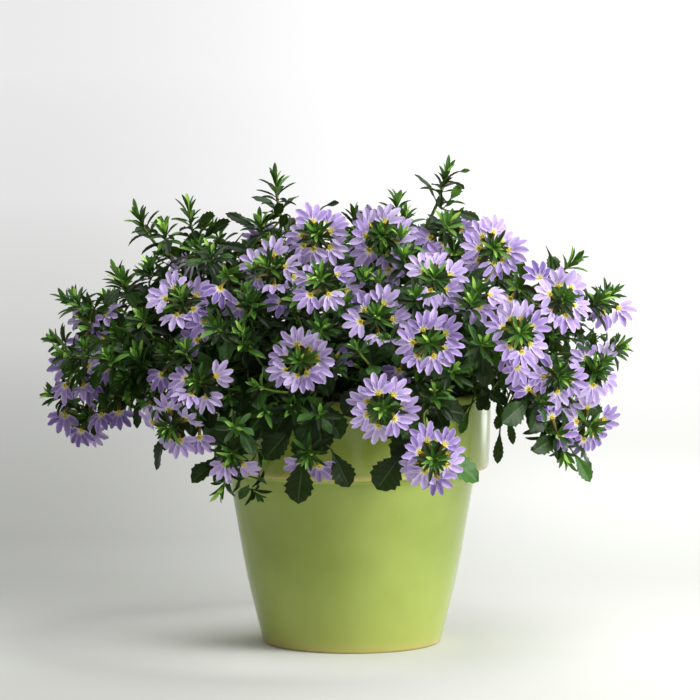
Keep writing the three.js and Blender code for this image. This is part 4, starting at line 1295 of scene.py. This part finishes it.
# The soil's surface: the height, pitch and turn of each of its swells, and the crumbs that lie on it
SWELLS = ((0.9, 0.11, 20), (0.6, 0.27, 70), (0.35, 0.6, 140))
CRUMBS = SimpleNamespace(count=520, reach=86, height=0.4, least=0.7, vary=1.7)
# How the soil's side narrows to its foot, and the height of that foot
SOIL_SIDE = SimpleNamespace(taper=0.95, foot=150)


def make_soil():
    skin = Skin()
    draws = draws_from(SOIL_SEED)
    rings, sides = 40, 120
    angles = np.linspace(0, FULL_TURN, sides, endpoint=False)
    reach = np.linspace(0.02, 1, rings)[:, None] * SOIL_RADIUS
    height = mix(SOIL_CROWN, SOIL_TOP, (reach / SOIL_RADIUS) ** 2)
    bumps = sum(
        amount * np.sin(reach * cos(turn) * scale + np.sin(angles * 3 + turn) * 2 + turn)
        * np.cos(reach * np.sin(angles) * scale + turn)
        for amount, scale, turn in SWELLS)
    points = np.stack([reach * np.cos(angles), reach * np.sin(angles), height + bumps], axis=-1)
    skin.grid(points, points[..., :2] * 0.01, 0.5, 0, closed=True)
    wall = np.stack([points[-1], points[-1] * [SOIL_SIDE.taper, SOIL_SIDE.taper, 0] + UP * SOIL_SIDE.foot])
    skin.grid(wall, wall[..., :2] * 0.01, 0.5, 0, closed=True)
    for _ in range(CRUMBS.count):
        turn, share = FULL_TURN * next(draws), math.sqrt(next(draws))
        reach = share * CRUMBS.reach
        height = mix(SOIL_CROWN, SOIL_TOP, share**2) + CRUMBS.height
        middle = np.array([reach * math.cos(turn), reach * math.sin(turn), height])
        add_crumb(skin, middle, CRUMBS.least + CRUMBS.vary * next(draws) ** 2, draws)
    return skin.make("potting_soil", [MATERIALS.soil])


CRUMB_SIDES = 6


def add_crumb(skin, middle, radius, draws):
    """A small lump of peat or bark, as an uneven ball."""
    stretch = np.array([0.7 + next(draws), 0.7 + next(draws), 0.6 + 0.4 * next(draws)])
    lifts = np.radians([-60, -10, 40, 80])
    angles = np.linspace(0, FULL_TURN, CRUMB_SIDES, endpoint=False)
    points = np.stack([
        np.multiply.outer(np.cos(lifts), np.cos(angles)),
        np.multiply.outer(np.cos(lifts), np.sin(angles)),
        np.repeat(np.sin(lifts)[:, None], CRUMB_SIDES, axis=1),
    ], axis=-1)
    wobble = np.array([[0.75 + 0.5 * next(draws) for _ in angles] for _ in lifts])
    points = middle + points * wobble[..., None] * stretch * radius
    skin.grid(points, points[..., :2] * 0.01, 0.5, 0, closed=True)


RINGS_PER_STEP = 5
STEM_IN_HEAD = (0, 5, 9)


def stem_line(shoot):
    """A smooth line from the fork to the tuft's base, through the flower head."""
    line = shoot.route.at(np.linspace(0, 1, shoot.steps * RINGS_PER_STEP + 1))
    if shoot.flowers:
        line = np.vstack([line, *(shoot.middle + shoot.axis * rise for rise in STEM_IN_HEAD)])
    return line


# Stems, each from its foot to its end: the radii and tints, and how many sides and rings
BRANCH = SimpleNamespace(radii=(2.3, 1.9), tints=(0.05, 0.45), sides=10, rings=12, sways=7, sway=0.8)
SHOOT = SimpleNamespace(radii=(1.6, 1.0), tints=(0.3, 0.65), sides=8)
SIDE_STEM = SimpleNamespace(radii=(1.1, 0.7), tints=(0.6, 0.95), sides=6, rings=9)
STALK = SimpleNamespace(radii=(1.0, 0.6), tints=(0.6, 0.4), sides=6, rings=7)
STEM_SLOT, LEAF_SLOT = 0, 1
PETAL_SLOT, TUBE_SLOT = 0, 1
TUFT_ON_HEAD = 10


def add_stem(skin, line, form):
    shares = np.linspace(0, 1, len(line))
    add_tube(skin, line, mix(*form.radii, shares), form.sides, mix(*form.tints, shares), STEM_SLOT)


def make_spray(name, shoots, draws):
    """All that grows from one root: its stems, leaves and tufts, and its single flowers as another piece."""
    skin = Skin()
    root, fork = shoots[0].root, shoots[0].fork
    shares = np.linspace(0, 1, BRANCH.rings)[:, None]
    sway = np.sin(shares * BRANCH.sways) * cross(unit(fork - root), UP) * BRANCH.sway
    add_stem(skin, mix(root, fork, shares) + sway * shares, BRANCH)
    for shoot in shoots:
        add_stem(skin, stem_line(shoot), SHOOT)
        form = HEAD_TUFT if shoot.flowers else TIP_TUFT
        base = shoot.middle + shoot.axis * (TUFT_ON_HEAD if shoot.flowers else 0)
        add_tuft(skin, base, shoot.axis, shoot.turn, form, draws, LEAF_SLOT)
        for blade in shoot.leaves:
            blade.base = shoot.route.at(blade.share)[0]
        for blade in shoot.leaves + shoot.extra:
            add_leaf(skin, blade, draws, LEAF_SLOT)
        for stalk in shoot.stalks:
            add_stem(skin, stalk.at(np.linspace(0, 1, STALK.rings)), STALK)
        for side in shoot.side_shoots:
            add_stem(skin, side.route.at(np.linspace(0, 1, SIDE_STEM.rings)), SIDE_STEM)
            add_tuft(skin, side.end, side.axis, side.turn, side.form, draws, LEAF_SLOT)
    flowers = [side.fan for shoot in shoots for side in shoot.side_shoots if side.fan]
    if flowers:
        # The single flowers are darkened by their age, partly as painted shade.
        flowers_piece(name.replace("leafy_spray", "loose_flowers"), flowers, draws, LOOSE_AGE_PAINTED_SHADE)
    piece = skin.make(name.replace("leafy_spray", "spray"), [MATERIALS.stem, MATERIALS.leaf])
    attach(piece, "root")
    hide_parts(name)


def flowers_piece(name, fans, draws, age):
    """A group of flowers of one age as one piece."""
    skin = Skin()
    for fan in fans:
        loosen(fan, draws)
        add_fan(skin, fan, draws, PETAL_SLOT, TUBE_SLOT, age)
    piece = skin.make(name, [MATERIALS.petal, MATERIALS.tube])
    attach(piece, "root")
    return piece


def make_bloom(head, draws):
    piece = flowers_piece(head.bloom.replace("flower_head", "bloom"), head.fans, draws, head.age)
    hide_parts(head.bloom)


# The cells in which taken points are kept, how far side shoots stay inside the solids' box, and the points
# around a tuft that take its room
ROOM_CELL = 4
BOX_GAP = 4
TUFT_ROOM = SimpleNamespace(head=14, tip=6, turns=range(0, 360, 60), inner=5, outer=10, rise=2)


def take_room(shoot, room):
    """Takes the room of a shoot's stem, tuft, flowers and leaves."""
    room.take(shoot.route.at(np.linspace(0, 1, int(shoot.length / ROOM_CELL))))
    tuft = shoot.middle + shoot.axis * (TUFT_ROOM.head if shoot.flowers else TUFT_ROOM.tip)
    for angle in TUFT_ROOM.turns:
        out = around(shoot.axis, angle)
        outer = tuft + out * TUFT_ROOM.outer + shoot.axis * TUFT_ROOM.rise
        room.take(np.array([tuft + out * TUFT_ROOM.inner, outer]))
    for fan in shoot.fans:
        room.take(fan_samples(fan))
    for leaf in shoot.leaves:
        room.take(leaf_samples(leaf))


def make_plant():
    """Plans the plant as the solids have it, adds what they leave out, and makes the pieces."""
    draws = draws_from(PLANT_SEED)
    shoots = plan_shoots()
    heads = [shoot for shoot in shoots if shoot.flowers]
    for order, head in enumerate(heads, 1):
        head.bloom = f"flower_head_{order:02d}"
        head.age = WITHERED.age if order in WITHERED.heads else HEAD_AGE * next(draws)
    trees = {name: corners_of(name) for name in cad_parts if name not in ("pot", "soil")}
    find_leaves(shoots, trees)
    find_fans(heads, trees)
    room = Room(ROOM_CELL)
    for shoot in shoots:
        take_room(shoot, room)
    grow_placed_shoots(shoots, room, draws)
    for row in LARGE_MORE:
        hang_leaf(shoots, row, room)
    for row in STANDING:
        stand_leaf(shoots, row, room)
    for shoot in shoots:
        for side in shoot.side_shoots:
            grow_leaves(shoot, side.route, room, draws, PLACED_LEAVES)
    low, high = (np.array(corner) / MM for corner in cad_box)
    box = (low + BOX_GAP, high - BOX_GAP)
    for shoot in shoots:
        grow_side_shoots(shoot, room, draws, box)
    for shoot in shoots:
        grow_leaves(shoot, shoot.route, room, draws, EXTRA)
    for name in sorted({shoot.node for shoot in shoots}):
        make_spray(name, [shoot for shoot in shoots if shoot.node == name], draws)
    for head in heads:
        make_bloom(head, draws)


MATERIALS = SimpleNamespace(
    leaf=material_of("leaf_tissue", leaf_surface),
    petal=material_of("petal_tissue", petal_surface),
    tube=material_of("flower_tube_tissue", tube_surface),
    stem=material_of("stem_tissue", stem_surface),
    glaze=material_of("lime_glazed_ceramic", glaze_surface),
    soil=material_of("potting_soil", soil_surface),
    # The floor has light and shade painted into its colour.
    floor=material_of("studio_floor_painted_light", floor_surface_painted_light),
)

make_plant()

pot = make_pot()
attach(pot, "root")
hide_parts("pot")

soil = make_soil()
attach(soil, "root")
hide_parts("soil")


# Stage, light and camera
def make_floor():
    half = 400
    mesh = bpy.data.meshes.new("floor")
    corners = [(-half, -half, 0), (half, -half, 0), (half, half, 0), (-half, half, 0)]
    mesh.from_pydata(corners, [], [(0, 1, 2, 3)])
    mesh.materials.append(MATERIALS.floor)
    floor = show("floor", mesh)
    floor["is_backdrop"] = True


def add_light(name, place, target, size, power):
    data = bpy.data.lights.new(name, "AREA")
    data.shape = "RECTANGLE"
    data.size, data.size_y = size
    data.energy = power
    light = show(name, data)
    light.visible_camera = False
    light.location = place
    light.rotation_euler = (Vector(target) - Vector(place)).to_track_quat("-Z", "Y").to_euler()


# How quickly the studio's light grows from the horizon to the ceiling
STEEPNESS = 4


def set_world(horizon, zenith, left, right):
    """Studio light from all around: strong from above and the right, weak from the left, a pale far edge."""
    world = bpy.data.worlds.new("studio")
    world.use_nodes = True
    tree = world.node_tree
    tree.nodes.clear()
    x = add(tree, "SeparateXYZ", [add(tree, "TexCoord")], out="X")
    z = x.node.outputs["Z"]
    steep = add(tree, "Math", [z, STEEPNESS], operation="POWER")
    high = add(tree, "MapRange", [steep, 0, 1, horizon, zenith])
    side = add(tree, "MapRange", [x, -1, 1, left, right])
    strength = add(tree, "Math", [high, side], operation="MULTIPLY")
    rim = add(tree, "MapRange", [z, 0.035, 0.07, 0.9, 0])
    strength = add(tree, "Math", [strength, rim], operation="MAXIMUM")
    light = add(tree, "Background", {"Color": "#ffffff", "Strength": strength})
    add(tree, "OutputWorld", {"Surface": light})
    bpy.context.scene.world = world


def set_camera():
    distance, tilt, frame_width, sensor = 3.0, 5, 0.502, 36
    target = Vector((-0.0014, 0, 0.210))
    data = bpy.data.cameras.new("camera")
    data.sensor_width = sensor
    data.lens = sensor * distance / frame_width
    data.clip_end = 2000
    camera = show("camera", data)
    camera.location = target + Vector((0, -cos(tilt), sin(tilt))) * distance
    camera.rotation_euler = (target - camera.location).to_track_quat("-Z", "Y").to_euler()
    bpy.context.scene.camera = camera


make_floor()
set_world(horizon=0.1, zenith=3.72, left=0.15, right=1.85)
add_light("key", place=(0.88, -0.55, 0.66), target=(0, 0, 0.17), size=(0.6, 0.8), power=14.5)
add_light("strip", place=(0.77, 0.92, 0.6), target=(0, 0, 0.6), size=(0.3, 1.2), power=3.5)
set_camera()
bpy.context.scene.view_settings.view_transform = "Standard"
bpy.context.scene.view_settings.look = "None"

boxes = [[[float(v) for v in corner] for corner in box] for box in (cad_box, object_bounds())]
